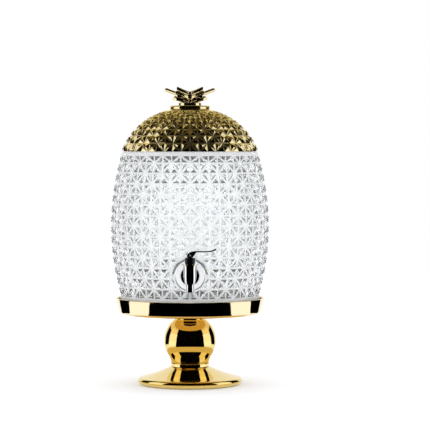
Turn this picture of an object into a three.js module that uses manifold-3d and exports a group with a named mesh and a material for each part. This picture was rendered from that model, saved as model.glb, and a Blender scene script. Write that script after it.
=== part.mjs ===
// Glass beverage dispenser. A star-cut glass jar with a tap and a domed star-cut lid stands in a
// shallow tray on a turned stem and a round foot. Millimetres, +Z up. The origin is on the jar's
// axis at the underside of the base pad. The tap points to -Y and its lever, at rest, to +X.

import * as THREE from "three";
import { mergeVertices } from "three/addons/utils/BufferGeometryUtils.js";
import Module from "manifold-3d";

const wasm = await Module();
wasm.setup();

// Clearances
const seatGap = 0.3; // between two pieces that rest on or against each other
const runGap = 0.3; // around what turns or slides
const overrun = 2; // how far a cutter runs past its work

// Foot
const footRadius = 74.3;
const footRimRound = 5.2;
const footRimWidth = 9;
const footLift = 0.5; // the pad stands this far below the rim
const footHeight = 26;
const footSheet = 1.6;
const footSlopeRunShare = 0.455;
const footSlopeRiseShare = 0.39;
const basePadThickness = 3;

// Stem
const stemNeckRadius = 27.2;
const stemCollarHeight = 5.1;
const stemCollarBead = 0.7;
const ballRadius = 37.6;
const ballEquator = 31.3; // above the ball's lower end
const ballLowerAngle = THREE.MathUtils.degToRad(31); // where the ball turns into its lower neck
const ballTopRadius = 18.5;
const ballWall = 1.6;
const trayCollarHeight = 5.4;
const trayCollarRadius = 26;

// Tie bolt
const boltRadius = 3;
const boltHeadRadius = 9;
const boltHeadHeight = 2;
const boltTail = 2.5; // past the nut
const nutAcross = 10; // across the flats
const nutHeight = 5;
const washerRadius = 9;
const washerThickness = 1.6;

// Tray
const trayRoom = 10.8; // the tray's lower edge stands this far outside the jar's lower end
const trayFlare = 3.8; // from its lower edge out to its lip
const trayHeight = 23.1;
const trayCorner = 6.5;
const traySheet = 1.6;
const trayLipRound = 1.2;
const jarPadInset = 15; // from the tray's lower edge
const jarPadThickness = 2;

// Jar
const jarHeight = 227.9;
const bellyRadius = 113.3;
const bellyHeight = 121.4;
const bellyCurve = 360; // radius of the side's long arc
const jarWall = 5.5;
const jarFloor = 7;
const jarHeelRadius = 12;
const jarFloorRound = 16;
const puntRise = 4;
const footRingWidth = 8;
const footRingSlope = 6;
const heelBand = 22.1;
const rimBand = 5.4;
const rimRound = 1.6;

// Star cut. Each star has eight rays, and a full turn has twice as many columns as stars.
const starsAround = 24;
const columns = 2 * starsAround;
const starRows = 13;
const lowerRunOut = 13.7;
const upperRunOut = 9.5;
const starDepth = 2.9;
const crossDepthShare = 0.67; // the nodes between the stars are cut this much as deep

// Tap
const tapHeight = 162.7; // height of the shank's axis
const tapStandOff = 28.5; // from the boss's flat face to the barrel's axis
const bossSink = 2.8; // the boss's flat face lies this far inside the belly's radius
const bossFlatRadius = 20.5;
const bossRound = 3.5;
const bossSkirt = 2;
const bossDepth = 20;
const shankRadius = 8;
const shankBore = 4;
const shankTail = 3; // past the back nut
const neckRadius = 7;
const shoulderRadius = 13.2;
const shoulderThickness = 3;
const shoulderBevel = 0.8;
const flangeRadius = 16;
const flangeThickness = 2.2;
const flangeBevel = 1.2;
const outerWasherRadius = 20;
const outerWasherThickness = 2;
const innerWasherRadius = 14;
const innerWasherThickness = 2.5;
const spotFace = 0.6; // depth of the flat that is ground inside the jar, at its axis
const backNutAcross = 24;
const backNutThickness = 6;
const barrelHeight = 39;
const barrelRadius = 9.1;
const barrelLipRadius = 11.3;
const barrelLipHeight = 0.7;
const barrelFlareHeight = 3.8;
const barrelTaperTop = 21.7;
const barrelTaperEnd = 8.5;
const shankRise = 21; // the shank's axis above the spout's end
const spoutRadius = 5.6;
const spoutBore = 3.6;
const spoutRound = 0.6;
const barrelBore = 6.5;
const seatHeight = 15.3;

// Tap cap, valve and lever
const bonnetRadius = 7.05;
const bonnetHeight = 8.2;
const bonnetBevel = 0.8;
const bonnetSpigot = 7;
const stemRadius = 2;
const tangRadius = 2.1;
const tangThickness = 4;
const pinRadius = 1;
const pinRise = 3.2; // the pin's axis above the bonnet's top
const cupRadius = 5.8;
const cupWaist = 4.2;
const cupFootHeight = 1.8;
const cupHeight = 8.8;
const cupSocket = 5.4;
const springTurns = 4;
const springWire = 0.9;
const springRadius = 3.3; // of the coil, to the middle of the wire
const leverLength = 36;
const leverWidth = 9;
const leverHeelBack = 4.5;
const leverHeelFront = 3.7;
const leverRise = 5.9; // the blade's top above the pin's axis
const leverBlade = 1.7;
const leverTipRise = 3.3;
const leverTipLength = 13;
const leverRootLength = 8.4;

// Lid
const lidOverhang = 1.2;
const lidRise = 58.1;
const lidTopRadius = 35.9;
const lidBulge = 10.6; // how far the dome's arc stands off its chord
const lidWall = 3.7;
const lidLandThickness = 3.2;
const lidSkirtHeight = 10;
const lidSkirtWall = 2;
const lidSkirtBead = 1.2;
const lidDepthShare = 0.19; // depth of a star as a share of its cell's width
const sealWidth = 2.2;
const sealHeight = 6.5;

// Knob
const knobFlangeRadius = 29.2;
const knobFlangeHeight = 6.9;
const knobFlangeRound = 2.9;
const knobNeckRadius = 16.6;
const knobNeckHeight = 4.2;
const knobNeckRound = 0.9;
const screwRadius = 2;
const screwHeadRadius = 4.2;
const screwHeadHeight = 2.6;
const screwGrip = 6.5; // how far the screw goes into the knob
const knobWasherRadius = 8;
const knobWasherThickness = 1.5;
const petals = 6;
const blossomTilt = THREE.MathUtils.degToRad(20.4);
const blossomRadius = 11;
const blossomReach = 21.2; // along its axis, from the knob's centre line to the mouth's valleys
const blossomTail = 7;
const blossomMouth = 9; // depth of the hollow
const blossomWall = 1.8;
const blossomAxisHeight = 6; // of the blossoms' crossing above the neck
const petalTip = 2;
const petalDepthShare = 0.2;
const stamenRadius = 2.6;
const stamenLength = 26;

// Colours and finish
const gold = { color: 0xd6a443, roughness: 0.12, metalness: 1 };
const chrome = { color: 0xdfe1e4, roughness: 0.08, metalness: 1 };
const steel = { color: 0xa9acb0, roughness: 0.35, metalness: 1 };
const glass = { color: 0xeef3f3, roughness: 0.03, metalness: 0, transparent: true, opacity: 0.35 };
const blackPlastic = { color: 0x0b0b0c, roughness: 0.25, metalness: 0 };
const clearRubber = { color: 0xe9ecec, roughness: 0.5, metalness: 0 };
const whiteRubber = { color: 0xf4f4f2, roughness: 0.55, metalness: 0 };
const blackFelt = { color: 0x1a1a1b, roughness: 0.95, metalness: 0 };

// Facet counts of round pieces
const wideSegments = 32;
const stemSegments = 24;
const tapSegments = 20;
const smallSegments = 12;
const boreSegments = starsAround; // inside the jar and the lid

// The tray, its pad and the tap follow the jar
const trayLowerRadius = jarRadius(0) + trayRoom;
const trayLipRadius = trayLowerRadius + trayFlare;
const jarPadRadius = trayLowerRadius - jarPadInset;
const bossFace = bellyRadius - bossSink; // from the jar's axis
const tapReach = bossFace + tapStandOff; // from the jar's axis to the barrel's axis

// Heights that follow from the stack
const stemCollarBase = footHeight + seatGap;
const ballBase = stemCollarBase + stemCollarHeight + seatGap;
const ballTopRise = ballEquator + Math.sqrt(ballRadius ** 2 - ballTopRadius ** 2);
const trayCollarBase = ballBase + ballTopRise + seatGap;
const trayBase = trayCollarBase + trayCollarHeight + seatGap;
const jarPadBase = trayBase + traySheet + seatGap;
const jarBase = jarPadBase + jarPadThickness + seatGap;
const lidBase = jarBase + jarHeight + seatGap;
const knobBase = lidBase + lidRise + seatGap;
const boltHole = boltRadius + runGap;

// Geometry helpers

const at = (radius, height) => new THREE.Vector2(radius, height);

// A copy of a geometry with shared corners and no collapsed triangles.
function closedGeometry(source) {
  const bare = new THREE.BufferGeometry();
  bare.setAttribute("position", source.getAttribute("position").clone());
  if (source.index) bare.setIndex(source.index.clone());
  const merged = mergeVertices(bare);
  const kept = [];
  for (let corner = 0; corner < merged.index.count; corner += 3) {
    const triangle = [0, 1, 2].map((step) => merged.index.getX(corner + step));
    if (new Set(triangle).size === 3) kept.push(...triangle);
  }
  merged.setIndex(kept);
  return merged;
}

function toSolid(geometry) {
  const closed = closedGeometry(geometry);
  const vertProperties = new Float32Array(closed.getAttribute("position").array);
  const triVerts = new Uint32Array(closed.index.array);
  return new wasm.Manifold(new wasm.Mesh({ numProp: 3, vertProperties, triVerts }));
}

function toGeometry(solid) {
  const mesh = solid.getMesh();
  const geometry = new THREE.BufferGeometry();
  geometry.setAttribute("position", new THREE.BufferAttribute(mesh.vertProperties, 3));
  geometry.setIndex(new THREE.BufferAttribute(mesh.triVerts, 1));
  return geometry;
}

// An outline of (radius, height) points turned about +Z. It climbs on its outer side.
function turned(points, segments) {
  return new THREE.LatheGeometry(points, segments).rotateX(Math.PI / 2);
}

// The same for an outline that closes on itself around a bore.
function turnedRing(points, segments) {
  return turned([...points, points[0]], segments);
}

function washer(inner, outer, height, segments) {
  return turnedRing([at(inner, 0), at(outer, 0), at(outer, height), at(inner, height)], segments);
}

function hexagonNut(bore, across, height, segments) {
  const corner = across / 2 / Math.cos(Math.PI / 6);
  const outline = new THREE.Shape();
  for (let side = 0; side < 6; side += 1) {
    const angle = (side * Math.PI) / 3;
    const place = [corner * Math.cos(angle), corner * Math.sin(angle)];
    if (side === 0) outline.moveTo(...place);
    else outline.lineTo(...place);
  }
  outline.closePath();
  outline.holes.push(new THREE.Path().absarc(0, 0, bore, 0, 2 * Math.PI, true));
  const options = { depth: height, bevelEnabled: false, curveSegments: segments };
  return new THREE.ExtrudeGeometry(outline, options);
}

// A closed skin over rings of points, each ring running the same way round. A strip between two
// rings that both carry their uncut places becomes star-cut cells.
function skin(rings) {
  const corners = [];
  const flat = (...triangle) => triangle.forEach((point) => corners.push(point.x, point.y, point.z));
  const count = rings[0].points.length;
  for (let strip = 0; strip < rings.length - 1; strip += 1) {
    const low = rings[strip];
    const high = rings[strip + 1];
    for (let column = 0; column < count; column += 1) {
      const next = (column + 1) % count;
      const cell = [[low, column], [low, next], [high, next], [high, column]];
      const starFirst = !low.uncut || (column + low.phase) % 2 === 0;
      const split = starFirst ? [[0, 1, 2], [0, 2, 3]] : [[0, 1, 3], [1, 2, 3]];
      for (const triangle of split) {
        const [a, b, c] = triangle.map((corner) => cell[corner]);
        if (low.uncut && high.uncut) facet(flat, a, b, c);
        else flat(...[a, b, c].map(([ring, place]) => ring.points[place]));
      }
    }
  }
  cap(flat, rings[0].points, true);
  cap(flat, rings[rings.length - 1].points, false);
  const geometry = new THREE.BufferGeometry();
  geometry.setAttribute("position", new THREE.Float32BufferAttribute(corners, 3));
  return geometry;
}

// One raised triangular facet group: three faces up to a peak at the uncut surface.
function facet(flat, ...nodes) {
  const peak = new THREE.Vector3();
  for (const [ring, place] of nodes) peak.addScaledVector(ring.uncut[place], 1 / nodes.length);
  for (let side = 0; side < nodes.length; side += 1) {
    const [ring, place] = nodes[side];
    const [nextRing, nextPlace] = nodes[(side + 1) % nodes.length];
    flat(ring.points[place], nextRing.points[nextPlace], peak);
  }
}

function cap(flat, points, facesBack) {
  const middle = new THREE.Vector3();
  for (const point of points) middle.addScaledVector(point, 1 / points.length);
  for (let place = 0; place < points.length; place += 1) {
    const next = points[(place + 1) % points.length];
    if (facesBack) flat(middle, next, points[place]);
    else flat(middle, points[place], next);
  }
}

// A ring of a turned form. With a depth it is a row of star-cut nodes, sunk along the outline's
// normal: stars on every second column, counted from the front, and shallower crosses between.
function turnedRow(radius, height, cut = null) {
  const points = [];
  const uncut = [];
  for (let column = 0; column < columns; column += 1) {
    const angle = (column / columns) * 2 * Math.PI - Math.PI / 2;
    const isStar = cut && (column + cut.phase) % 2 === 0;
    const depth = cut ? cut.depth * (isStar ? 1 : crossDepthShare) : 0;
    const sunkRadius = radius - (cut ? depth * cut.normal.x : 0);
    const sunkHeight = height - (cut ? depth * cut.normal.y : 0);
    uncut.push(new THREE.Vector3(radius * Math.cos(angle), radius * Math.sin(angle), height));
    points.push(
      new THREE.Vector3(sunkRadius * Math.cos(angle), sunkRadius * Math.sin(angle), sunkHeight),
    );
  }
  return cut ? { points, uncut, phase: cut.phase } : { points };
}

// Pieces are added to their group under their name, each with a material of its own.
function addPiece(group, name, geometry, finish, place = [0, 0, 0]) {
  const mesh = new THREE.Mesh(closedGeometry(geometry), new THREE.MeshStandardMaterial(finish));
  mesh.name = name;
  mesh.position.set(...place);
  group.add(mesh);
  return mesh;
}

// Stand

function footGeometry() {
  const rimCentre = footRadius - footRimRound;
  const rimTop = footLift + 2 * footRimRound;
  const slope = (drop) => {
    const rise = footHeight - rimTop;
    const run = rimCentre - stemNeckRadius;
    const bend = at(stemNeckRadius + run * footSlopeRunShare, rimTop + rise * footSlopeRiseShare - drop);
    const outer = at(rimCentre, rimTop - drop);
    const inner = at(stemNeckRadius, footHeight - drop);
    return new THREE.QuadraticBezierCurve(outer, bend, inner).getPoints(3);
  };
  const rim = new THREE.Path();
  rim.absarc(rimCentre, footLift + footRimRound, footRimRound, -Math.PI / 2, Math.PI / 2);
  return turnedRing(
    [
      at(footRadius - footRimWidth, footLift),
      ...rim.getPoints(2),
      ...slope(0).slice(1),
      at(boltHole, footHeight),
      at(boltHole, footHeight - footSheet),
      ...slope(footSheet).reverse().slice(0, -1),
      at(footRadius - footRimWidth, rimTop - footSheet),
    ],
    wideSegments,
  );
}

function basePadGeometry() {
  const radius = footRadius - footRimWidth - seatGap;
  return turned(
    [at(0, 0), at(radius, 0), at(radius, basePadThickness), at(0, basePadThickness)],
    wideSegments,
  );
}

function stemCollarGeometry() {
  const bead = new THREE.Path();
  bead.absarc(stemNeckRadius, stemCollarHeight - stemCollarBead, stemCollarBead, -Math.PI / 2, Math.PI / 2);
  return turnedRing(
    [at(boltHole, 0), at(stemNeckRadius, 0), ...bead.getPoints(1), at(boltHole, stemCollarHeight)],
    stemSegments,
  );
}

// The hollow ball: a round with a short concave lower neck, and a flat at each end for the bolt.
function stemBallGeometry() {
  const side = (wall, steps) => {
    const radius = ballRadius - wall;
    const path = new THREE.Path();
    const turnRadius = radius * Math.cos(ballLowerAngle);
    const turnHeight = ballEquator - radius * Math.sin(ballLowerAngle);
    const neck = stemNeckRadius - wall;
    const bendHeight = turnHeight - (turnRadius - neck) / Math.tan(ballLowerAngle) / 2;
    const bendRadius = turnRadius - (turnRadius - neck) / 2;
    path.moveTo(neck, wall);
    path.quadraticCurveTo((neck + bendRadius) / 2, bendHeight, turnRadius, turnHeight);
    const topAngle = Math.acos((ballTopRadius - wall) / radius);
    path.absarc(0, ballEquator, radius, -ballLowerAngle, topAngle);
    return path.getPoints(steps);
  };
  const outer = side(0, 3);
  const inner = side(ballWall, 2).slice(0, -1);
  return turnedRing(
    [
      at(boltHole, 0),
      ...outer,
      at(boltHole, ballTopRise),
      at(boltHole, ballTopRise - ballWall),
      at(ballTopRadius - ballWall, ballTopRise - ballWall),
      ...inner.reverse(),
      at(boltHole, ballWall),
    ],
    stemSegments,
  );
}

function trayCollarGeometry() {
  const cove = new THREE.QuadraticBezierCurve(
    at(ballTopRadius, 0),
    at(ballTopRadius, trayCollarHeight),
    at(trayCollarRadius, trayCollarHeight),
  );
  return turnedRing(
    [at(boltHole, 0), ...cove.getPoints(3), at(boltHole, trayCollarHeight)],
    stemSegments,
  );
}

function trayGeometry() {
  const cornerCentre = trayLowerRadius - trayCorner;
  const lipCentre = trayLipRadius - trayLipRound;
  const outer = new THREE.Path();
  outer.absarc(cornerCentre, trayCorner, trayCorner, -Math.PI / 2, 0);
  const lip = new THREE.Path();
  lip.absarc(lipCentre, trayHeight - trayLipRound, trayLipRound, 0, Math.PI);
  const inner = new THREE.Path();
  inner.absarc(cornerCentre, trayCorner, trayCorner - traySheet, 0, -Math.PI / 2, true);
  return turnedRing(
    [
      at(boltHole, 0),
      ...outer.getPoints(2),
      ...lip.getPoints(1),
      ...inner.getPoints(1),
      at(boltHole, traySheet),
    ],
    wideSegments,
  );
}

function tieBoltGeometry(length) {
  return turned(
    [
      at(0, 0),
      at(boltRadius, 0),
      at(boltRadius, length),
      at(boltHeadRadius, length),
      at(boltHeadRadius, length + boltHeadHeight),
      at(0, length + boltHeadHeight),
    ],
    smallSegments,
  );
}

function buildStand() {
  const stand = new THREE.Group();
  addPiece(stand, "foot", footGeometry(), gold);
  addPiece(stand, "base_pad", basePadGeometry(), blackFelt);
  addPiece(stand, "stem_collar", stemCollarGeometry(), gold, [0, 0, stemCollarBase]);
  addPiece(stand, "stem_ball", stemBallGeometry(), gold, [0, 0, ballBase]);
  addPiece(stand, "tray_collar", trayCollarGeometry(), gold, [0, 0, trayCollarBase]);
  addPiece(stand, "tray", trayGeometry(), gold, [0, 0, trayBase]);

  const footWasher = washer(boltHole, washerRadius, washerThickness, smallSegments);
  const washerBase = footHeight - footSheet - seatGap - washerThickness;
  const nutBase = washerBase - seatGap - nutHeight;
  const boltBase = nutBase - boltTail;
  const boltTop = trayBase + traySheet + seatGap;
  addPiece(stand, "foot_washer", footWasher, steel, [0, 0, washerBase]);
  const nut = hexagonNut(boltHole, nutAcross, nutHeight, smallSegments / 2);
  addPiece(stand, "foot_nut", nut, steel, [0, 0, nutBase]);
  addPiece(stand, "tie_bolt", tieBoltGeometry(boltTop - boltBase), steel, [0, 0, boltBase]);

  const jarPad = washer(boltHeadRadius + seatGap, jarPadRadius, jarPadThickness, stemSegments);
  addPiece(stand, "jar_pad", jarPad, clearRubber, [0, 0, jarPadBase]);
  return stand;
}

// Jar

// Radius of the uncut side at a height above the jar's base.
function jarRadius(height) {
  return bellyRadius - bellyCurve + Math.sqrt(bellyCurve ** 2 - (height - bellyHeight) ** 2);
}

function jarNormal(height) {
  return at(jarRadius(height) + bellyCurve - bellyRadius, height - bellyHeight).normalize();
}

function jarBlank() {
  const heelTop = jarRadius(heelBand);
  const heel = new THREE.Path();
  heel.absarc(heelTop - jarHeelRadius, jarHeelRadius, jarHeelRadius, -Math.PI / 2, 0);
  const ringOuter = heelTop - jarHeelRadius;
  const ringInner = ringOuter - footRingWidth;
  const rings = [turnedRow(ringInner - footRingSlope, puntRise), turnedRow(ringInner, 0)];
  for (const point of heel.getPoints(2)) rings.push(turnedRow(point.x, point.y));

  const topBorder = jarHeight - rimBand;
  const firstRow = heelBand + lowerRunOut;
  const rowPitch = (topBorder - upperRunOut - firstRow) / (starRows - 1);
  const cutRow = (height, order, depth) => {
    const cut = { depth, phase: Math.abs(order) % 2, normal: jarNormal(height) };
    rings.push(turnedRow(jarRadius(height), height, cut));
  };
  cutRow(heelBand, -1, 0);
  for (let row = 0; row < starRows; row += 1) cutRow(firstRow + row * rowPitch, row, starDepth);
  cutRow(topBorder, starRows, 0);

  const rimRadius = jarRadius(jarHeight);
  rings.push(turnedRow(rimRadius, jarHeight - rimRound), turnedRow(rimRadius - rimRound, jarHeight));
  return skin(rings);
}

function jarCavity() {
  const rimInner = jarRadius(jarHeight) - jarWall;
  const sideSteps = 5;
  const points = [at(0, jarFloor)];
  const heelInner = jarRadius(jarFloor + jarFloorRound) - jarWall;
  const corner = new THREE.Path();
  corner.absarc(heelInner - jarFloorRound, jarFloor + jarFloorRound, jarFloorRound, -Math.PI / 2, 0);
  points.push(...corner.getPoints(2));
  for (let step = 1; step <= sideSteps; step += 1) {
    const run = jarHeight - jarFloor - jarFloorRound;
    const height = jarFloor + jarFloorRound + (step / sideSteps) * run;
    points.push(at(jarRadius(height) - jarWall, height));
  }
  points.push(at(rimInner, jarHeight + overrun), at(0, jarHeight + overrun));
  return turned(points, boreSegments);
}

// A turned form whose outline's height runs along -Y, for what lies around the tap's shank.
function alongTap(geometry) {
  return geometry.rotateX(Math.PI / 2);
}

function bossGeometry() {
  const round = new THREE.Path();
  round.absarc(bossFlatRadius, bossFace - bossRound, bossRound, 0, Math.PI / 2);
  const outerRadius = bossFlatRadius + bossRound;
  return alongTap(
    turned(
      [
        at(0, bossFace - bossDepth),
        at(outerRadius + bossSkirt, bossFace - bossDepth),
        ...round.getPoints(2),
        at(0, bossFace),
      ],
      boreSegments,
    ),
  );
}

function jarGeometry() {
  const shankHeight = tapHeight - jarBase;
  const along = (from, to, radius, segments = tapSegments) =>
    toSolid(
      alongTap(turned([at(0, from), at(radius, from), at(radius, to), at(0, to)], segments)),
    ).translate([0, 0, shankHeight]);
  const innerFace = jarRadius(shankHeight) - jarWall;
  const bossEdge = bossFlatRadius + bossRound + bossSkirt;
  const clearedFront = along(bossFace, bellyRadius + overrun, bossEdge, boreSegments);
  const boss = toSolid(bossGeometry()).translate([0, 0, shankHeight]);
  const hole = along(innerFace - overrun, bossFace + overrun, shankRadius + runGap);
  const flat = along(innerFace - jarWall, innerFace + spotFace, innerWasherRadius + overrun);
  const blank = toSolid(jarBlank()).subtract(clearedFront).add(boss);
  return toGeometry(blank.subtract(toSolid(jarCavity())).subtract(flat).subtract(hole));
}

function buildJar() {
  const jar = new THREE.Group();
  jar.position.z = jarBase;
  addPiece(jar, "jar", jarGeometry(), glass);
  return jar;
}

// Tap, in a frame at the barrel's axis and the spout's end

// Distances from the barrel's axis back along the shank
const bossFaceBack = tapReach - bossFace;
const outerWasherBack = bossFaceBack - seatGap - outerWasherThickness;
const flangeBack = outerWasherBack - seatGap - flangeThickness;
const shoulderBack = flangeBack - seatGap - shoulderThickness;
const innerFaceBack = tapReach - jarRadius(tapHeight - jarBase) + jarWall - spotFace;
const innerWasherBack = innerFaceBack + seatGap;
const backNutBack = innerWasherBack + innerWasherThickness + seatGap;
const shankEndBack = backNutBack + backNutThickness + shankTail;
const throatHeight = seatHeight - (barrelBore - spoutBore);

// A turned form whose outline's height runs back along +Y from the barrel, at the shank's height.
function onShank(geometry) {
  return geometry.rotateX(-Math.PI / 2).translate(0, 0, shankRise);
}

function tapBodyGeometry() {
  const barrel = new THREE.Path();
  barrel.moveTo(0, 0);
  barrel.lineTo(spoutRadius - spoutRound, 0);
  barrel.lineTo(spoutRadius, spoutRound);
  barrel.lineTo(spoutRadius, barrelTaperEnd);
  barrel.bezierCurveTo(
    spoutRadius,
    (barrelTaperEnd + barrelTaperTop) / 2,
    barrelRadius,
    (barrelTaperEnd + barrelTaperTop) / 2,
    barrelRadius,
    barrelTaperTop,
  );
  const lipBase = barrelHeight - barrelLipHeight;
  barrel.lineTo(barrelRadius, lipBase - barrelFlareHeight);
  barrel.quadraticCurveTo(barrelRadius, lipBase, barrelLipRadius, lipBase);
  barrel.lineTo(barrelLipRadius, barrelHeight);
  barrel.lineTo(0, barrelHeight);
  const shank = turned(
    [
      at(0, 0),
      at(neckRadius, 0),
      at(neckRadius, shoulderBack),
      at(shoulderRadius - shoulderBevel, shoulderBack),
      at(shoulderRadius, shoulderBack + shoulderBevel),
      at(shoulderRadius, shoulderBack + shoulderThickness),
      at(shankRadius, shoulderBack + shoulderThickness),
      at(shankRadius, shankEndBack),
      at(0, shankEndBack),
    ],
    tapSegments,
  );
  const inlet = turned(
    [at(0, 0), at(shankBore, 0), at(shankBore, shankEndBack + overrun), at(0, shankEndBack + overrun)],
    tapSegments / 2,
  );
  const chamber = turned(
    [
      at(0, -overrun),
      at(spoutBore, -overrun),
      at(spoutBore, throatHeight),
      at(barrelBore, seatHeight),
      at(barrelBore, barrelHeight + overrun),
      at(0, barrelHeight + overrun),
    ],
    tapSegments,
  );
  const body = toSolid(turned(barrel.getPoints(3), tapSegments)).add(toSolid(onShank(shank)));
  return toGeometry(body.subtract(toSolid(onShank(inlet))).subtract(toSolid(chamber)));
}

function flangeGeometry() {
  const bore = shankRadius + runGap;
  const ring = [
    at(bore, 0),
    at(flangeRadius - flangeBevel, 0),
    at(flangeRadius, flangeBevel),
    at(flangeRadius, flangeThickness),
    at(bore, flangeThickness),
  ];
  return onShank(turnedRing(ring, tapSegments).translate(0, 0, flangeBack));
}

function shankWasher(radius, thickness, back) {
  const ring = washer(shankRadius + runGap, radius, thickness, tapSegments);
  return onShank(ring.translate(0, 0, back));
}

function backNutGeometry() {
  const nut = hexagonNut(shankRadius + runGap, backNutAcross, backNutThickness, tapSegments / 2);
  return onShank(nut.translate(0, 0, backNutBack));
}

function bonnetGeometry() {
  const bore = stemRadius + runGap;
  const spigotRadius = barrelBore - runGap;
  return turnedRing(
    [
      at(bore, -bonnetSpigot),
      at(spigotRadius, -bonnetSpigot),
      at(spigotRadius, 0),
      at(bonnetRadius - bonnetBevel / 2, 0),
      at(bonnetRadius, bonnetBevel),
      at(bonnetRadius, bonnetHeight - bonnetBevel),
      at(bonnetRadius - bonnetBevel, bonnetHeight),
      at(bore, bonnetHeight),
    ],
    tapSegments,
  );
}

// A short round bar across the tap, along Y and centred on the given height.
function crossBar(radius, length, height, segments = smallSegments) {
  return new THREE.CylinderGeometry(radius, radius, length, segments).translate(0, 0, height);
}

// The valve stem's foot stands in the cup's socket and its flat tang carries the lever's pin.
function valveStemGeometry(length) {
  const rod = turned([at(0, 0), at(stemRadius, 0), at(stemRadius, length), at(0, length)], smallSegments);
  const tang = toSolid(crossBar(tangRadius, tangThickness, length));
  const pinHole = toSolid(crossBar(pinRadius + runGap, tangThickness + overrun, length));
  return toGeometry(toSolid(rod).add(tang).subtract(pinHole));
}

// The cup seals on the cone at the top of the spout's bore.
function seatCupGeometry() {
  const coneHeight = cupRadius - (spoutBore - runGap);
  const bore = stemRadius + runGap;
  return turned(
    [
      at(0, 0),
      at(cupRadius - coneHeight, 0),
      at(cupRadius, coneHeight),
      at(cupRadius, coneHeight + cupFootHeight),
      at(cupWaist, coneHeight + cupFootHeight),
      at(cupWaist, cupHeight),
      at(bore, cupHeight),
      at(bore, cupHeight - cupSocket),
      at(0, cupHeight - cupSocket),
    ],
    smallSegments,
  );
}

class Helix extends THREE.Curve {
  constructor(radius, turns, height) {
    super();
    Object.assign(this, { radius, turns, height });
  }

  getPoint(share, target = new THREE.Vector3()) {
    const angle = share * this.turns * 2 * Math.PI;
    return target.set(
      this.radius * Math.cos(angle),
      this.radius * Math.sin(angle),
      share * this.height,
    );
  }
}

// One unbroken wire from end to end, five-sided, eight steps to a turn.
function springGeometry(length) {
  const wireRadius = springWire / 2;
  const helix = new Helix(springRadius, springTurns, length - springWire);
  const sides = 5;
  const corners = [];
  for (let side = 0; side < sides; side += 1) {
    const angle = (side / sides) * 2 * Math.PI;
    corners.push(at(wireRadius * Math.cos(angle), wireRadius * Math.sin(angle)));
  }
  const steps = springTurns * 8;
  const gap = leastSelfGap(helix.getSpacedPoints(steps * 4), wireRadius);
  console.log(`valve_spring: least gap to itself ${gap.toFixed(2)} mm`);
  const wire = new THREE.ExtrudeGeometry(new THREE.Shape(corners), { steps, extrudePath: helix });
  return wire.translate(0, 0, wireRadius);
}

// Smallest distance between points at least half a turn apart, less the wire's thickness.
function leastSelfGap(points, wireRadius) {
  const apart = Math.floor(points.length / springTurns / 2);
  let least = Infinity;
  for (let first = 0; first < points.length; first += 1) {
    for (let second = first + apart; second < points.length; second += 1) {
      least = Math.min(least, points[first].distanceTo(points[second]));
    }
  }
  return least - 2 * wireRadius;
}

// The lever's side view: a forked heel on the pin, a swan neck and a thin blade with a raised tip.
function leverGeometry() {
  const base = -(pinRise - seatGap);
  const bladeUnder = leverRise - leverBlade;
  const bendStart = leverLength - leverTipLength;
  const side = new THREE.Shape();
  side.moveTo(-leverHeelBack, base);
  side.lineTo(leverHeelFront, base);
  side.quadraticCurveTo((leverHeelFront + leverRootLength) / 2, 0, leverRootLength, bladeUnder);
  side.lineTo(bendStart, bladeUnder);
  side.quadraticCurveTo(
    bendStart + leverTipLength / 2,
    bladeUnder,
    leverLength,
    bladeUnder + leverTipRise,
  );
  side.lineTo(leverLength - leverBlade / 2, leverRise + leverTipRise);
  side.quadraticCurveTo(bendStart + leverTipLength / 2, leverRise, bendStart, leverRise);
  side.lineTo(leverRootLength, leverRise);
  side.bezierCurveTo(0, leverRise, -leverHeelBack, leverRise / 2, -leverHeelBack, base);
  const options = { depth: leverWidth, bevelEnabled: false, curveSegments: 5 };
  const blank = new THREE.ExtrudeGeometry(side, options).rotateX(Math.PI / 2);
  blank.translate(0, leverWidth / 2, 0);

  // The fork's slot is open below and in front, so the stem can stand in it when the lever tips.
  const slotTop = tangRadius + runGap;
  const slotBack = tangRadius + runGap;
  const slotLength = slotBack + leverRootLength;
  const slotHeight = slotTop + pinRise;
  const slot = new THREE.BoxGeometry(slotLength, tangThickness + 2 * runGap, slotHeight);
  slot.translate(slotLength / 2 - slotBack, 0, slotTop - slotHeight / 2);
  const pinHole = toSolid(crossBar(pinRadius + runGap, leverWidth + overrun, 0));
  return toGeometry(toSolid(blank).subtract(toSolid(slot)).subtract(pinHole));
}

function buildTap() {
  const tap = new THREE.Group();
  tap.position.set(0, -tapReach, tapHeight - shankRise);
  addPiece(tap, "tap_body", tapBodyGeometry(), chrome);
  addPiece(tap, "tap_flange", flangeGeometry(), whiteRubber);
  const outer = shankWasher(outerWasherRadius, outerWasherThickness, outerWasherBack);
  addPiece(tap, "outer_washer", outer, whiteRubber);
  const inner = shankWasher(innerWasherRadius, innerWasherThickness, innerWasherBack);
  addPiece(tap, "inner_washer", inner, clearRubber);
  addPiece(tap, "back_nut", backNutGeometry(), whiteRubber);

  const bonnetBase = barrelHeight + seatGap;
  const pinHeight = bonnetBase + bonnetHeight + pinRise;
  const cupBase = throatHeight;
  const stemBase = cupBase + cupHeight - cupSocket + seatGap;
  const springBase = cupBase + cupHeight + seatGap;
  const springTop = bonnetBase - bonnetSpigot - seatGap;
  addPiece(tap, "bonnet", bonnetGeometry(), blackPlastic, [0, 0, bonnetBase]);
  addPiece(tap, "seat_cup", seatCupGeometry(), clearRubber, [0, 0, cupBase]);
  addPiece(tap, "valve_stem", valveStemGeometry(pinHeight - stemBase), blackPlastic, [0, 0, stemBase]);
  addPiece(tap, "valve_spring", springGeometry(springTop - springBase), steel, [0, 0, springBase]);
  addPiece(tap, "lever_pin", crossBar(pinRadius, leverWidth, 0), steel, [0, 0, pinHeight]);
  addPiece(tap, "lever", leverGeometry(), blackPlastic, [0, 0, pinHeight]);
  return tap;
}

// Lid

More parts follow.
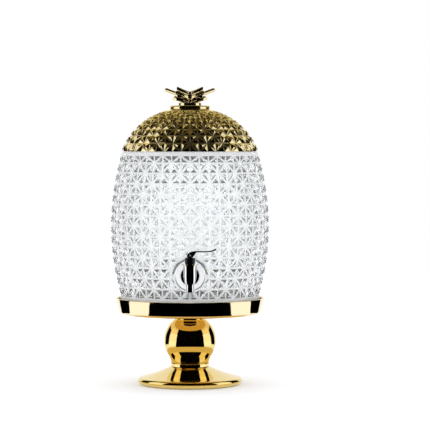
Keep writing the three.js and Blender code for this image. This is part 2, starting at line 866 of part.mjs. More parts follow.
// The dome's arc from the lid's edge to its top, in the lid's frame, as a centre and two angles.
function domeArc() {
  const edge = at(jarRadius(jarHeight) + lidOverhang, 0);
  const top = at(lidTopRadius, lidRise);
  const chord = top.clone().sub(edge);
  const outward = at(chord.y, -chord.x).normalize();
  const halfChord = chord.length() / 2;
  const radius = (halfChord ** 2 + lidBulge ** 2) / (2 * lidBulge);
  const middle = edge.clone().add(top).multiplyScalar(1 / 2);
  const centre = middle.addScaledVector(outward, lidBulge - radius);
  const angleTo = (point) => Math.atan2(point.y - centre.y, point.x - centre.x);
  return { centre, radius, start: angleTo(edge), end: angleTo(top) };
}

// Rows of star-cut cells that stay square as the dome closes, so they shrink towards its top.
function domeRows() {
  const { centre, radius, start, end } = domeArc();
  const place = (angle) => at(centre.x + radius * Math.cos(angle), centre.y + radius * Math.sin(angle));
  const cellStep = (angle) => ((2 * Math.PI) / columns) * (place(angle).x / radius);
  const angles = [start];
  while (angles[angles.length - 1] + cellStep(angles[angles.length - 1]) < end) {
    angles.push(angles[angles.length - 1] + cellStep(angles[angles.length - 1]));
  }
  const stretch = (end - start) / (angles[angles.length - 1] - start);
  return angles.map((angle, row) => {
    const fitted = start + (angle - start) * stretch;
    const point = place(fitted);
    const isTop = row === angles.length - 1;
    const depth = isTop ? 0 : ((2 * Math.PI * point.x) / columns) * lidDepthShare;
    const isEdge = row === 0; // sunk level, so that the edge stays flat
    const normal = isEdge ? at(1, 0) : at(Math.cos(fitted), Math.sin(fitted));
    return turnedRow(point.x, point.y, { depth, phase: (row + 1) % 2, normal });
  });
}

function lidGeometry() {
  const { centre, radius } = domeArc();
  const blank = toSolid(skin(domeRows()));
  const skirtOuter = jarRadius(jarHeight) - jarWall - runGap - sealWidth - seatGap;
  const skirtInner = skirtOuter - lidSkirtWall;
  const beadRadius = skirtOuter + lidSkirtBead;
  const skirt = turned(
    [
      at(0, -lidSkirtHeight),
      at(beadRadius, -lidSkirtHeight),
      at(beadRadius, -lidSkirtHeight + lidSkirtBead),
      at(skirtOuter, -lidSkirtHeight + lidSkirtBead),
      at(skirtOuter, lidWall),
      at(0, lidWall),
    ],
    boreSegments,
  );
  const innerRadius = radius - lidWall;
  const landHeight = lidRise - lidLandThickness;
  const hollow = new THREE.Path();
  hollow.moveTo(0, -lidSkirtHeight - overrun);
  hollow.lineTo(skirtInner, -lidSkirtHeight - overrun);
  const skirtAngle = Math.acos((skirtInner - centre.x) / innerRadius);
  const landAngle = Math.asin((landHeight - centre.y) / innerRadius);
  hollow.absarc(centre.x, centre.y, innerRadius, skirtAngle, landAngle);
  hollow.lineTo(0, landHeight);
  const screwHole = screwRadius + runGap;
  const bore = turned(
    [at(0, 0), at(screwHole, 0), at(screwHole, lidRise + overrun), at(0, lidRise + overrun)],
    smallSegments,
  );
  const shell = blank.add(toSolid(skirt)).subtract(toSolid(turned(hollow.getPoints(3), boreSegments)));
  return toGeometry(shell.subtract(toSolid(bore)));
}

function sealGeometry() {
  const outer = jarRadius(jarHeight) - jarWall - runGap;
  return washer(outer - sealWidth, outer, sealHeight, boreSegments);
}

// Knob

function knobBaseGeometry() {
  const path = new THREE.Path();
  const screwHole = screwRadius + runGap;
  const socket = screwGrip + runGap;
  const knobHeight = knobFlangeHeight + knobNeckHeight;
  const flangeRound = knobFlangeRadius - knobFlangeRound;
  const neckRound = knobNeckRadius - knobNeckRound;
  path.moveTo(0, socket);
  path.lineTo(screwHole, socket);
  path.lineTo(screwHole, 0);
  path.lineTo(flangeRound, 0);
  path.absarc(flangeRound, knobFlangeRound, knobFlangeRound, -Math.PI / 2, 0);
  path.absarc(flangeRound, knobFlangeHeight - knobFlangeRound, knobFlangeRound, 0, Math.PI / 2);
  path.lineTo(knobNeckRadius, knobFlangeHeight);
  path.lineTo(knobNeckRadius, knobHeight - knobNeckRound);
  path.lineTo(neckRound, knobHeight);
  path.lineTo(0, knobHeight);
  return turned(path.getPoints(2), stemSegments);
}

// A six-petalled trumpet along +X of its own frame. Each ring is lobed: full at a petal's middle,
// drawn in at the valleys. One petal faces the front. The mouth reaches furthest at their tips.
function blossomGeometry() {
  const pointsPerPetal = 4;
  const count = petals * pointsPerPetal;
  const ring = (along, radius, lobe, reach) => {
    const points = [];
    for (let place = 0; place < count; place += 1) {
      const angle = (place / count) * 2 * Math.PI;
      const fullness = Math.abs(Math.sin((petals / 2) * angle));
      const lobed = radius * (1 - lobe * (1 - fullness));
      points.push(
        new THREE.Vector3(along + reach * fullness, -lobed * Math.sin(angle), lobed * Math.cos(angle)),
      );
    }
    return { points };
  };
  const mouthRadius = blossomRadius;
  const hollowRadius = blossomRadius - blossomWall;
  const flareShares = [[0, 0.97], [0.45, 0.92], [0.8, 0.95]];
  const rings = [ring(-blossomTail, blossomRadius, petalDepthShare / 2, 0)];
  for (const [alongShare, radiusShare] of flareShares) {
    rings.push(ring(blossomReach * alongShare, blossomRadius * radiusShare, petalDepthShare, 0));
  }
  rings.push(ring(blossomReach, mouthRadius, petalDepthShare, petalTip));
  rings.push(ring(blossomReach - blossomMouth, hollowRadius / 2, 0, 0));
  return skin(rings);
}

function stamenGeometry() {
  const path = new THREE.Path();
  path.moveTo(0, 0);
  path.lineTo(stamenRadius, 0);
  path.lineTo(stamenRadius, stamenLength - stamenRadius);
  path.absarc(0, stamenLength - stamenRadius, stamenRadius, 0, Math.PI / 2);
  return turned(path.getPoints(1), smallSegments).rotateY(Math.PI / 2);
}

// Both flowers are cut square where they meet and where they stand on the neck.
function buildKnob() {
  const knob = new THREE.Group();
  const neckTop = knobFlangeHeight + knobNeckHeight;
  addPiece(knob, "knob_base", knobBaseGeometry(), gold);
  const axisHeight = neckTop + blossomAxisHeight;
  const room = 2 * (blossomReach + blossomRadius + blossomTail);
  for (const [name, side] of [["left", -1], ["right", 1]]) {
    const cutter = new THREE.BoxGeometry(room, room, room);
    cutter.translate(side * (room / 2 + seatGap / 2), 0, room / 2 + neckTop + seatGap);
    const turn = side < 0 ? Math.PI : 0;
    const pose = (geometry) =>
      geometry.rotateY(-blossomTilt).rotateZ(turn).translate(0, 0, axisHeight);
    const blossom = toSolid(pose(blossomGeometry())).intersect(toSolid(cutter));
    addPiece(knob, `${name}_blossom`, toGeometry(blossom), gold);
    const stamenStart = blossomReach - blossomMouth + seatGap;
    addPiece(knob, `${name}_stamen`, pose(stamenGeometry().translate(stamenStart, 0, 0)), gold);
  }
  return knob;
}

function screwGeometry(length) {
  return turned(
    [
      at(0, 0),
      at(screwHeadRadius, 0),
      at(screwHeadRadius, screwHeadHeight),
      at(screwRadius, screwHeadHeight),
      at(screwRadius, screwHeadHeight + length),
      at(0, screwHeadHeight + length),
    ],
    smallSegments,
  );
}

function buildLid() {
  const lid = new THREE.Group();
  lid.position.z = lidBase;
  addPiece(lid, "lid", lidGeometry(), gold);
  const sealBase = -lidSkirtHeight + lidSkirtBead + seatGap;
  addPiece(lid, "lid_seal", sealGeometry(), clearRubber, [0, 0, sealBase]);
  const washerBase = lidRise - lidLandThickness - seatGap - knobWasherThickness;
  const knobWasher = washer(
    screwRadius + runGap,
    knobWasherRadius,
    knobWasherThickness,
    smallSegments,
  );
  addPiece(lid, "knob_washer", knobWasher, steel, [0, 0, washerBase]);
  const screwBase = washerBase - seatGap - screwHeadHeight;
  const screwTop = lidRise + seatGap + screwGrip;
  const screw = screwGeometry(screwTop - screwBase - screwHeadHeight);
  addPiece(lid, "knob_screw", screw, steel, [0, 0, screwBase]);
  const knob = buildKnob();
  knob.position.z = knobBase - lidBase;
  lid.add(knob);
  return lid;
}

const dispenser = new THREE.Group();
dispenser.add(buildStand(), buildJar(), buildTap(), buildLid());

export default dispenser;
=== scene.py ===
import math

import bmesh
import bpy
from mathutils import Matrix, Vector


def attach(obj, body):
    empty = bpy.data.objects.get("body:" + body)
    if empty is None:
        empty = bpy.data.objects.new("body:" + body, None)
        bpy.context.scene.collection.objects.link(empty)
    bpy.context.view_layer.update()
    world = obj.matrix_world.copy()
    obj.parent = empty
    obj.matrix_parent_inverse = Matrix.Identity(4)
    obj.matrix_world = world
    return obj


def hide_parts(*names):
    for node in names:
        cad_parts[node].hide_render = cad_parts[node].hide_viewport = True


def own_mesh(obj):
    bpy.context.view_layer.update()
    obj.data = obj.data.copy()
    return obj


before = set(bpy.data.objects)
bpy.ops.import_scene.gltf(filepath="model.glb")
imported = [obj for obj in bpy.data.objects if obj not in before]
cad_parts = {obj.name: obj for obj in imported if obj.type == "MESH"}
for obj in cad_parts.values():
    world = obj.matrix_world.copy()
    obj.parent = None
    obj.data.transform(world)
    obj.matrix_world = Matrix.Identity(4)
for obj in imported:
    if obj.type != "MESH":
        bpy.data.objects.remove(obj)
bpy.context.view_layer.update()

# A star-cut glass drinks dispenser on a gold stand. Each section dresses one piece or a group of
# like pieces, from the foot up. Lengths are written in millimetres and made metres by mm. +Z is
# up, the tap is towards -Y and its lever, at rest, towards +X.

mm = 0.001


# Camera. A long lens stands far in front, a little below the jar's rim. It looks level with the
# lid's edge and a little to the right of the dispenser.
camera_place = Vector((0, -2870, 336)) * mm
camera_aim = Vector((35.9, 0, 243)) * mm
bpy.ops.object.camera_add(location=camera_place)
camera = bpy.context.object
camera.rotation_euler = (camera_aim - camera_place).to_track_quat("-Z", "Y").to_euler()
camera.data.sensor_width = 36
camera.data.lens = 167.6
camera.data.clip_start = 0.1
camera.data.clip_end = 20
bpy.context.scene.camera = camera


# Foot. A steel disc spun to a low concave cone with a rolled rim, polished and plated with a warm
# gold. The stem stands on its neck, and one long bolt holds the whole stand together.
foot_radius = 74.3
foot_rim_round = 5.2
foot_rim_width = 9
foot_lift = 0.5
foot_height = 26
foot_sheet = 1.6
foot_bend = (0.455, 0.39)  # where the cone's side bends, as shares of its run and its rise
stem_neck_radius = 27.2
bolt_hole = 3.3
same_place = 1e-6  # metres; points closer than this are one
gold_hex = "EDD388"
gold_roughness = 0.045
polish_wave = 9  # mm between the shallow waves that polishing leaves
polish_grain = 0.6  # mm, drawn coarser than the real haze so that it shows


def linear(hex_colour):
    """An sRGB hex colour as linear red, green, blue and alpha."""
    shares = [int(hex_colour[i:i + 2], 16) / 255 for i in (0, 2, 4)]
    return tuple(s / 12.92 if s <= 0.04045 else ((s + 0.055) / 1.055) ** 2.4 for s in shares) + (1,)


def add_node(tree, kind, settings, links=()):
    """Adds a shader node, sets its sockets and properties, and joins (socket, source) pairs."""
    made = tree.nodes.new("ShaderNode" + kind)
    for name, value in settings.items():
        if isinstance(name, str) and name.islower() and hasattr(made, name):
            setattr(made, name, value)
        else:
            made.inputs[name].default_value = value
    for socket, source in links:
        tree.links.new(source, made.inputs[socket])
    return made


def new_material(name):
    """An empty material with its output node and Object coordinates."""
    material = bpy.data.materials.new(name)
    material.use_nodes = True
    tree = material.node_tree
    tree.nodes.clear()
    return material, tree, add_node(tree, "OutputMaterial", {}), add_node(tree, "TexCoord", {})


def pattern(tree, place, size, detail, kind="TexNoise", result="Fac"):
    """A texture over the piece's own coordinates, its size in millimetres."""
    return add_node(tree, kind, {"Scale": 1 / (size * mm), "Detail": detail},
                    [("Vector", place.outputs["Object"])]).outputs[result]


def mapped(tree, value, low, high, from_low=0.0, from_high=1.0):
    """A value whose range is moved to another one."""
    limits = {"From Min": from_low, "From Max": from_high, "To Min": low, "To Max": high}
    return add_node(tree, "MapRange", limits, [("Value", value)]).outputs["Result"]


def textured(name, settings, rough, rough_grain, bump=None, bump_grain=None):
    """A material with a pattern in its haze and its relief. rough is a range and bump a strength
    with a depth in millimetres. A grain is a pattern's size in millimetres, its detail and so on."""
    material, tree, output, place = new_material(name)
    haze = mapped(tree, pattern(tree, place, *rough_grain), *rough)
    shader = add_node(tree, "BsdfPrincipled", settings, [("Roughness", haze)])
    if bump:
        relief = add_node(tree, "Bump", {"Strength": bump[0], "Distance": bump[1] * mm},
                          [("Height", pattern(tree, place, *bump_grain))])
        tree.links.new(relief.outputs["Normal"], shader.inputs["Normal"])
    tree.links.new(shader.outputs["BSDF"], output.inputs["Surface"])
    return material


# Electroplated gold on polished metal: a mirror with a faint wave, and a haze that varies a little.
# Where the metal under it was left matt, the plate is satin.
def plated_gold(name, hex_colour, roughness):
    return textured(name, {"Base Color": linear(hex_colour), "Metallic": 1.0},
                    rough=(roughness * 0.6, roughness * 1.7), rough_grain=(polish_grain, 3.0),
                    bump=(0.06, 0.2), bump_grain=(polish_wave, 1.0))


gold = plated_gold("plated_gold", gold_hex, gold_roughness)


def arc(centre_radius, centre_height, radius, start, end, steps):
    """Points of an outline's arc, from one angle to another in degrees."""
    turns = [math.radians(start + (end - start) * step / steps) for step in range(steps + 1)]
    return [(centre_radius + radius * math.cos(t), centre_height + radius * math.sin(t)) for t in turns]


def curve(start, bend, end, steps):
    """Points of an outline's curve that leans towards one bend."""
    shares = [step / steps for step in range(steps + 1)]
    return [tuple((1 - t) ** 2 * a + 2 * t * (1 - t) * b + t ** 2 * c for a, b, c in zip(start, bend, end))
            for t in shares]


def draw(name, places):
    """A chain of edges through a list of places. It stays in edit mode."""
    bpy.ops.mesh.primitive_plane_add(size=mm)
    piece = bpy.context.object
    piece.name = piece.data.name = name
    bpy.ops.object.mode_set(mode="EDIT")
    bpy.ops.mesh.merge(type="CENTER")
    bpy.ops.transform.translate(value=places[0])
    for here, there in zip(places, places[1:]):
        if (there - here).length > same_place / 10:
            bpy.ops.mesh.extrude_region_move(TRANSFORM_OT_translate={"value": there - here})
    return piece


def select_all():
    """Selects the whole of the active piece, in edit mode."""
    bpy.ops.object.mode_set(mode="EDIT")
    bpy.ops.mesh.select_all(action="SELECT")


def close_up():
    """Turns the faces of the active piece outwards, and leaves edit mode."""
    select_all()
    bpy.ops.mesh.normals_make_consistent(inside=False)
    bpy.ops.object.mode_set(mode="OBJECT")


def turn(name, outline, height=0, steps=96):
    """Turns an outline of (radius, height) points about the jar's axis, as on a spinning lathe.
    An outline that starts off the axis is closed."""
    if outline[0][0]:
        outline = [*outline, outline[0]]
    piece = draw(name, [Vector((r * mm, 0, (h + height) * mm)) for r, h in outline])
    select_all()
    bpy.ops.mesh.spin(steps=steps, angle=2 * math.pi, center=(0, 0, 0), axis=(0, 0, 1))
    select_all()
    bpy.ops.mesh.remove_doubles(threshold=same_place)
    bpy.ops.mesh.dissolve_degenerate(threshold=same_place / 10)
    close_up()
    return piece


def pick(piece):
    """Makes a piece the only one that is selected."""
    bpy.ops.object.select_all(action="DESELECT")
    piece.select_set(True)
    bpy.context.view_layer.objects.active = piece


def modify(piece, kind, **settings):
    """Adds a modifier to the active piece, with its settings, and applies it."""
    step = piece.modifiers.new(kind.lower(), kind)
    for name, value in settings.items():
        setattr(step, name, value)
    bpy.ops.object.modifier_apply(modifier=step.name)


def place_piece(piece, material, body, node, angle=28):
    """Shades a finished piece, gives it its material, if it has none, and replaces its solid."""
    pick(piece)
    bpy.ops.object.shade_smooth_by_angle(angle=math.radians(angle))
    if not any(piece.data.materials):
        piece.data.materials.clear()
        piece.data.materials.append(material)
    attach(piece, body)
    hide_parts(node)


rim_centre = foot_radius - foot_rim_round
rim_top = foot_lift + 2 * foot_rim_round


def foot_slope(drop):
    """The cone's side from its rim to its neck, lowered by a drop."""
    run, rise = rim_centre - stem_neck_radius, foot_height - rim_top
    bend = (stem_neck_radius + run * foot_bend[0], rim_top + rise * foot_bend[1] - drop)
    return curve((rim_centre, rim_top - drop), bend, (stem_neck_radius, foot_height - drop), 20)


foot = turn("foot_shell", [
    (foot_radius - foot_rim_width, foot_lift),
    *arc(rim_centre, foot_lift + foot_rim_round, foot_rim_round, -90, 90, 14),
    *foot_slope(0),
    (bolt_hole, foot_height),
    (bolt_hole, foot_height - foot_sheet),
    *reversed(foot_slope(foot_sheet)),
    (foot_radius - foot_rim_width, rim_top - foot_sheet),
], steps=128)
place_piece(foot, gold, "stand", "foot")


# Stem. A short turned collar with a bead, a hollow spun ball with a waist, and a cove that
# spreads under the tray. All three are threaded on the tie bolt and share the foot's warm gold.
seat_gap = 0.3
collar_height = 5.1
collar_bead = 0.7
collar_base = foot_height + seat_gap
ball_base = collar_base + collar_height + seat_gap
ball_radius = 37.6
ball_equator = 31.3
ball_lower_angle = 31
ball_top_radius = 18.5
ball_wall = 1.6
cove_height = 5.4
cove_radius = 26

stem_collar = turn("stem_collar_ring", [
    (bolt_hole, 0), (stem_neck_radius, 0),
    (stem_neck_radius, collar_height - 2 * collar_bead),
    *arc(stem_neck_radius, collar_height - collar_bead, collar_bead, -90, 90, 8),
    (bolt_hole, collar_height),
], collar_base)


def ball_side(wall, steps):
    """The ball's side from its neck to its top, moved inwards by a wall."""
    radius = ball_radius - wall
    low = math.radians(ball_lower_angle)
    turn_radius = radius * math.cos(low)
    turn_height = ball_equator - radius * math.sin(low)
    neck = stem_neck_radius - wall
    bend_height = turn_height - (turn_radius - neck) / math.tan(low) / 2
    bend_radius = turn_radius - (turn_radius - neck) / 2
    bend = ((neck + bend_radius) / 2, bend_height)
    top = math.degrees(math.acos((ball_top_radius - wall) / radius))
    round_side = arc(0, ball_equator, radius, -ball_lower_angle, top, steps)
    return curve((neck, wall), bend, (turn_radius, turn_height), 8) + round_side


ball_top = ball_equator + math.sqrt(ball_radius ** 2 - ball_top_radius ** 2)
stem_ball = turn("stem_ball_shell", [
    (bolt_hole, 0), *ball_side(0, 40), (bolt_hole, ball_top), (bolt_hole, ball_top - ball_wall),
    *reversed(ball_side(ball_wall, 20)), (bolt_hole, ball_wall),
], ball_base)
cove_base = ball_base + ball_top + seat_gap
tray_cove = turn("tray_cove", [
    (bolt_hole, 0),
    *curve((ball_top_radius, 0), (ball_top_radius, cove_height), (cove_radius, cove_height), 12),
    (bolt_hole, cove_height),
], cove_base)
for piece, node in ((stem_collar, "stem_collar"), (stem_ball, "stem_ball"), (tray_cove, "tray_collar")):
    place_piece(piece, gold, "stand", node)


# Tray. A shallow pan spun from one sheet, with a round corner below and a rolled lip above. Its
# plate is a paler gold than the stem's. The jar stands in it on a soft disc.
tray_base = cove_base + cove_height + seat_gap
tray_lower_radius = 103
tray_lip_radius = 106.8
tray_height = 23.1
tray_corner = 6.5
tray_sheet = 1.6
tray_lip_round = 1.2
corner_centre = tray_lower_radius - tray_corner
lip_centre = tray_lip_radius - tray_lip_round
tray = turn("tray_pan", [
    (bolt_hole, 0),
    *arc(corner_centre, tray_corner, tray_corner, -90, 0, 10),
    *arc(lip_centre, tray_height - tray_lip_round, tray_lip_round, 0, 180, 8),
    *arc(corner_centre, tray_corner, tray_corner - tray_sheet, 0, -90, 8),
    (bolt_hole, tray_sheet),
], tray_base, steps=128)
pale_gold = plated_gold("pale_gold", "ECD6AC", gold_roughness)
place_piece(tray, pale_gold, "stand", "tray")


# Jar. Soda-lime glass pressed in a mould that cuts stars all round its barrel. Each star has eight
# rays, and each triangle between rays rises to a peak. The rays' grooves are ground a little matt.
pad_thickness = 2
jar_base = tray_base + tray_sheet + seat_gap + pad_thickness + seat_gap
jar_height = 227.9
belly_radius = 113.3
belly_height = 121.4
belly_curve = 360
jar_wall = 5.5
jar_floor = 7
heel_radius = 12
floor_round = 16
punt_rise = 4
foot_ring_width = 8
foot_ring_slope = 6
heel_band = 22.1
rim_band = 5.4
rim_round = 1.6
columns = 48
star_rows = 13
lower_run_out = 13.7
upper_run_out = 9.5
star_depth = 2.9
cross_share = 0.67  # the places between the stars are this much as deep
middle_share = 0.62  # and a ray's narrow middle this much
groove_share = 0.17  # of a star's depth, for the groove along each ray
ray_half_width = 0.075  # of a ray, as a share of a column's width
star_spread = 1.3  # how much the rays widen at a star
star_reach, cross_reach, middle_reach = 0.35, 0.3, 0.15  # from there to the corners of triangles
near = 0.01  # of a column; what is closer than this is at the place
long_ray = 0.7  # a slanting edge that is longer joins two stars
fade_rate = 1.6  # the depth grows at this rate per row, from nothing at the plain bands


def jar_radius(height):
    """The barrel's radius at a height above the jar's foot."""
    return belly_radius - belly_curve + math.sqrt(belly_curve ** 2 - (height - belly_height) ** 2)


def select_where(piece, chosen):
    """In edit mode, selects the vertices whose place passes a test."""
    shape = bmesh.from_edit_mesh(piece.data)
    for vertex in shape.verts:
        vertex.select = bool(chosen(vertex.co))
    shape.select_flush_mode()
    bmesh.update_edit_mesh(piece.data)


def star_sheet(name, rows, *materials):
    """A flat sheet of stars. X counts columns, Y rows from -1, and Z is the share of a star's depth.
    One star with the triangles round it is modelled and repeated."""
    bpy.ops.mesh.primitive_circle_add(vertices=8, radius=1, fill_type="TRIFAN", location=(0, 0, 0))
    sheet = bpy.context.object
    sheet.name = sheet.data.name = name
    bpy.ops.object.mode_set(mode="EDIT")
    bpy.ops.mesh.select_mode(type="VERT")
    select_where(sheet, lambda v: min(abs(v.x), abs(v.y)) > 0.5)
    bpy.ops.transform.resize(value=(math.sqrt(2), math.sqrt(2), 1), center_override=(0, 0, 0))
    select_all()
    bpy.ops.mesh.inset(use_individual=True, thickness=ray_half_width, depth=0, use_even_offset=True)
    # The rays widen at the star in the middle and at the four in the corners
    stars = [Vector()] + [Vector((x, y, 0)) for x in (-1, 1) for y in (-1, 1)]
    for star in stars:
        select_where(sheet, lambda v: near < (v - star).length < star_reach)
        bpy.ops.transform.resize(value=(star_spread, star_spread, 1), center_override=star)
    # A long slanting ray joins two stars and gets a middle of its own, and each triangle a peak
    bpy.ops.mesh.select_mode(type="EDGE")
    shape = bmesh.from_edit_mesh(sheet.data)
    for edge in shape.edges:
        line = edge.verts[1].co - edge.verts[0].co
        edge.select = line.length > long_ray and abs(abs(line.x) - abs(line.y)) < 5 * near
    bmesh.update_edit_mesh(sheet.data)
    bpy.ops.mesh.subdivide(number_cuts=1)
    bpy.ops.mesh.select_mode(type="FACE")
    for material in materials:
        sheet.data.materials.append(material)
    shape = bmesh.from_edit_mesh(sheet.data)
    for face in shape.faces:
        doubled = [v.co * 2 for v in face.verts]
        face.select = all(abs(v.x - round(v.x)) + abs(v.y - round(v.y)) > 4 * near for v in doubled)
        face.material_index = 0 if face.select else 1
    bmesh.update_edit_mesh(sheet.data)
    bpy.ops.mesh.poke(center_mode="MEDIAN")
    bpy.ops.mesh.select_mode(type="VERT")
    crosses = [Vector(place) for place in ((1, 0, 0), (-1, 0, 0), (0, 1, 0), (0, -1, 0))]
    halves = [Vector((x, y, 0)) for x in (-0.5, 0.5) for y in (-0.5, 0.5)]
    for places, share, reach in ((stars, 1, star_reach), (crosses, cross_share, cross_reach),
                                 (halves, middle_share, middle_reach)):
        for place in places:
            select_where(sheet, lambda v: (v - place).length < near)
            bpy.ops.transform.translate(value=(0, 0, -share))
            select_where(sheet, lambda v: near < (v.xy - place.xy).length < reach and v.z > -near / 10)
            bpy.ops.transform.translate(value=(0, 0, groove_share - share))
    bpy.ops.object.mode_set(mode="OBJECT")
    for axis, count in ((0, columns // 2), (1, math.ceil(rows / 2))):
        modify(sheet, "ARRAY", use_relative_offset=False, use_constant_offset=True, count=count,
               constant_offset_displace=[2 if i == axis else 0 for i in range(3)],
               use_merge_vertices=True, merge_threshold=near / 5)
    return sheet


def wrap(sheet, mould):
    """Moves each point of a flat sheet of stars to its place on the glass, and joins the seam."""
    for vertex in sheet.data.vertices:
        vertex.co = mould(vertex.co.x, vertex.co.y, -vertex.co.z)
    select_all()
    bpy.ops.mesh.remove_doubles(threshold=10 * same_place)
    bpy.ops.object.mode_set(mode="OBJECT")


def cylindrical(radius, angle, height):
    return Vector((radius * math.cos(angle), radius * math.sin(angle), height)) * mm


def between(steps, share):
    """A value along a list of values, by a share that counts them."""
    low = min(max(int(math.floor(share)), 0), len(steps) - 2)
    return steps[low] + (steps[low + 1] - steps[low]) * (share - low)


top_border = jar_height - rim_band
first_star = heel_band + lower_run_out
row_pitch = (top_border - upper_run_out - first_star) / (star_rows - 1)
jar_rows = [heel_band] + [first_star + row * row_pitch for row in range(star_rows)] + [top_border]


def jar_mould(column, row, depth):
    """The place on the barrel of a point of the sheet, by its depth as a share of a star's."""
    height = between(jar_rows, row + 1)
    fade = max(0, min(1, fade_rate * (row + 1), fade_rate * (star_rows - row)))
    if row < near - 1 or row > star_rows - near:
        fade = 0
    out = jar_radius(height) + belly_curve - belly_radius
    up = height - belly_height
    sunk = star_depth * depth * fade / math.hypot(out, up)
    angle = math.radians(column * 360 / columns - 90)
    return cylindrical(jar_radius(height) - sunk * out, angle, jar_base + height - sunk * up)


def close_end(piece, base, ring, places=()):
    """Extrudes the open ring of a sheet through more (radius, height) places and
    closes the last. Heights are above a base."""
    bpy.ops.object.mode_set(mode="EDIT")
    select_where(piece, lambda v: abs(v.z - (base + ring[1]) * mm) < 10 * same_place)
    for radius, height in places:
        rise = (height - ring[1]) * mm
        bpy.ops.mesh.extrude_region_move(TRANSFORM_OT_translate={"value": (0, 0, rise)})
        share = radius / ring[0]
        bpy.ops.transform.resize(value=(share, share, 1), center_override=(0, 0, 0))
        ring = (radius, height)
    bpy.ops.mesh.edge_face_add()


def cut(piece, cutter, operation="DIFFERENCE"):
    """Joins or cuts two closed pieces and removes the second."""
    pick(piece)
    modify(piece, "BOOLEAN", operation=operation, solver="MANIFOLD", object=cutter)
    bpy.data.objects.remove(cutter)


# Soda-lime glass, clear. Its facets keep the fire polish's slight wave, and the cut rays are ground
# a little matt, so that they scatter the light and look white.
def star_glass(name, roughness, clearness):
    return textured(name, {"Base Color": linear("FEFFFF"), "IOR": 1.5, "Transmission Weight": clearness},
                    rough=(roughness * 0.8, roughness * 1.2), rough_grain=(0.6, 2.0),
                    bump=(0.1, 0.15), bump_grain=(7, 2.0))


polished_glass = star_glass("polished_glass", roughness=0.0, clearness=1.0)
ground_glass = star_glass("ground_glass", roughness=0.42, clearness=0.4)
jar = star_sheet("jar_glass", star_rows + 1, polished_glass, ground_glass)
wrap(jar, jar_mould)
heel_top = jar_radius(heel_band)
ring_outer = heel_top - heel_radius
ring_inner = ring_outer - foot_ring_width
heel_steps = list(reversed(arc(ring_outer, heel_radius, heel_radius, -90, 0, 6)))
rim_radius = jar_radius(jar_height)
rim_cut = 0.45 * rim_round
close_end(jar, jar_base, (heel_top, heel_band),
          [*heel_steps, (ring_inner, 0), (ring_inner - foot_ring_slope, punt_rise)])
close_end(jar, jar_base, (jar_radius(top_border), top_border),
          [(rim_radius, jar_height - rim_round), (rim_radius - rim_cut, jar_height - rim_cut),
           (rim_radius - rim_round, jar_height)])
close_up()

tap_height = 162.7
boss_face = 110.5
boss_flat = 20.5
boss_round = 3.5
boss_skirt = 2
boss_depth = 20
spot_face = 0.6  # depth of the flat that is ground inside for the washer
inner_washer_radius = 14
shank_radius = 8
run_gap = 0.3
overrun = 2
to_front = Matrix.Translation((0, 0, tap_height * mm)) @ Matrix.Rotation(math.radians(90), 4, "X")


def along_tap(name, outline, steps=64):
    """A turned form whose outline's height runs forward along the tap's shank."""
    piece = turn(name, outline, steps=steps)
    piece.data.transform(to_front)
    return piece


def plug(name, start, end, radius, steps=64):
    return along_tap(name, [(0, start), (radius, start), (radius, end), (0, end)], steps)


boss_edge = boss_flat + boss_round + boss_skirt
inner_face = jar_radius(tap_height - jar_base) - jar_wall
cut(jar, plug("front_cutter", boss_face, belly_radius + overrun, boss_edge))
boss = along_tap("boss", [
    (0, boss_face - boss_depth), (boss_edge, boss_face - boss_depth),
    *arc(boss_flat, boss_face - boss_round, boss_round, 0, 90, 8), (0, boss_face),
])
cut(jar, boss, "UNION")
cavity_steps = 24
corner_height = jar_floor + floor_round
corner_radius = jar_radius(corner_height) - jar_wall - floor_round
side_run = jar_height - corner_height
side_heights = [corner_height + side_run * step / cavity_steps for step in range(1, cavity_steps + 1)]
cut(jar, turn("cavity_cutter", [
    (0, jar_floor),
    *arc(corner_radius, corner_height, floor_round, -90, 0, 10),
    *[(jar_radius(h) - jar_wall, h) for h in side_heights],
    (rim_radius - jar_wall, jar_height + overrun), (0, jar_height + overrun),
], jar_base))
cut(jar, plug("seat_cutter", inner_face - jar_wall, inner_face + spot_face,
              inner_washer_radius + overrun))
cut(jar, plug("hole_cutter", inner_face - overrun, boss_face + overrun, shank_radius + run_gap))
place_piece(jar, polished_glass, "jar", "jar", 16)


# Lid. A cast dome that carries on the jar's stars up to its knob. Its facets are polished and have
# a pale lemon gold, the rays are satin, and the inside is bare. A skirt with a soft ring sits in
# the jar. The cells stay square as the dome closes.
lid_base = jar_base + jar_height + seat_gap
lid_overhang = 1.2
lid_rise = 58.1
lid_top_radius = 35.9
lid_bulge = 10.6
lid_wall = 3.7
land_thickness = 3.2
skirt_height = 10
skirt_wall = 2
skirt_bead = 1.2
seal_width = 2.2
lid_depth_share = 0.19
lemon_hex = "EBDAA8"
satin_roughness = 0.17
screw_hole = 2.3
edge = Vector((rim_radius + lid_overhang, 0))
top = Vector((lid_top_radius, lid_rise))
chord = top - edge
dome_radius = ((chord.length / 2) ** 2 + lid_bulge ** 2) / (2 * lid_bulge)
dome_centre = (edge + top) / 2 + Vector((chord.y, -chord.x)).normalized() * (lid_bulge - dome_radius)
dome_start = math.atan2(edge.y - dome_centre.y, edge.x - dome_centre.x)
dome_end = math.atan2(top.y - dome_centre.y, top.x - dome_centre.x)


def dome_place(angle):
    """A point of the dome's outline."""
    return dome_centre + dome_radius * Vector((math.cos(angle), math.sin(angle)))


def dome_angles():
    """Angles of the rows of cells, which stay as high as they are wide."""
    angles = [dome_start]
    while True:
        step = 2 * math.pi / columns * dome_place(angles[-1]).x / dome_radius
        if angles[-1] + step >= dome_end:
            break
        angles.append(angles[-1] + step)
    stretch = (dome_end - dome_start) / (angles[-1] - dome_start)
    return [dome_start + (angle - dome_start) * stretch for angle in angles]


lid_rows = dome_angles()
last_row = len(lid_rows) - 1


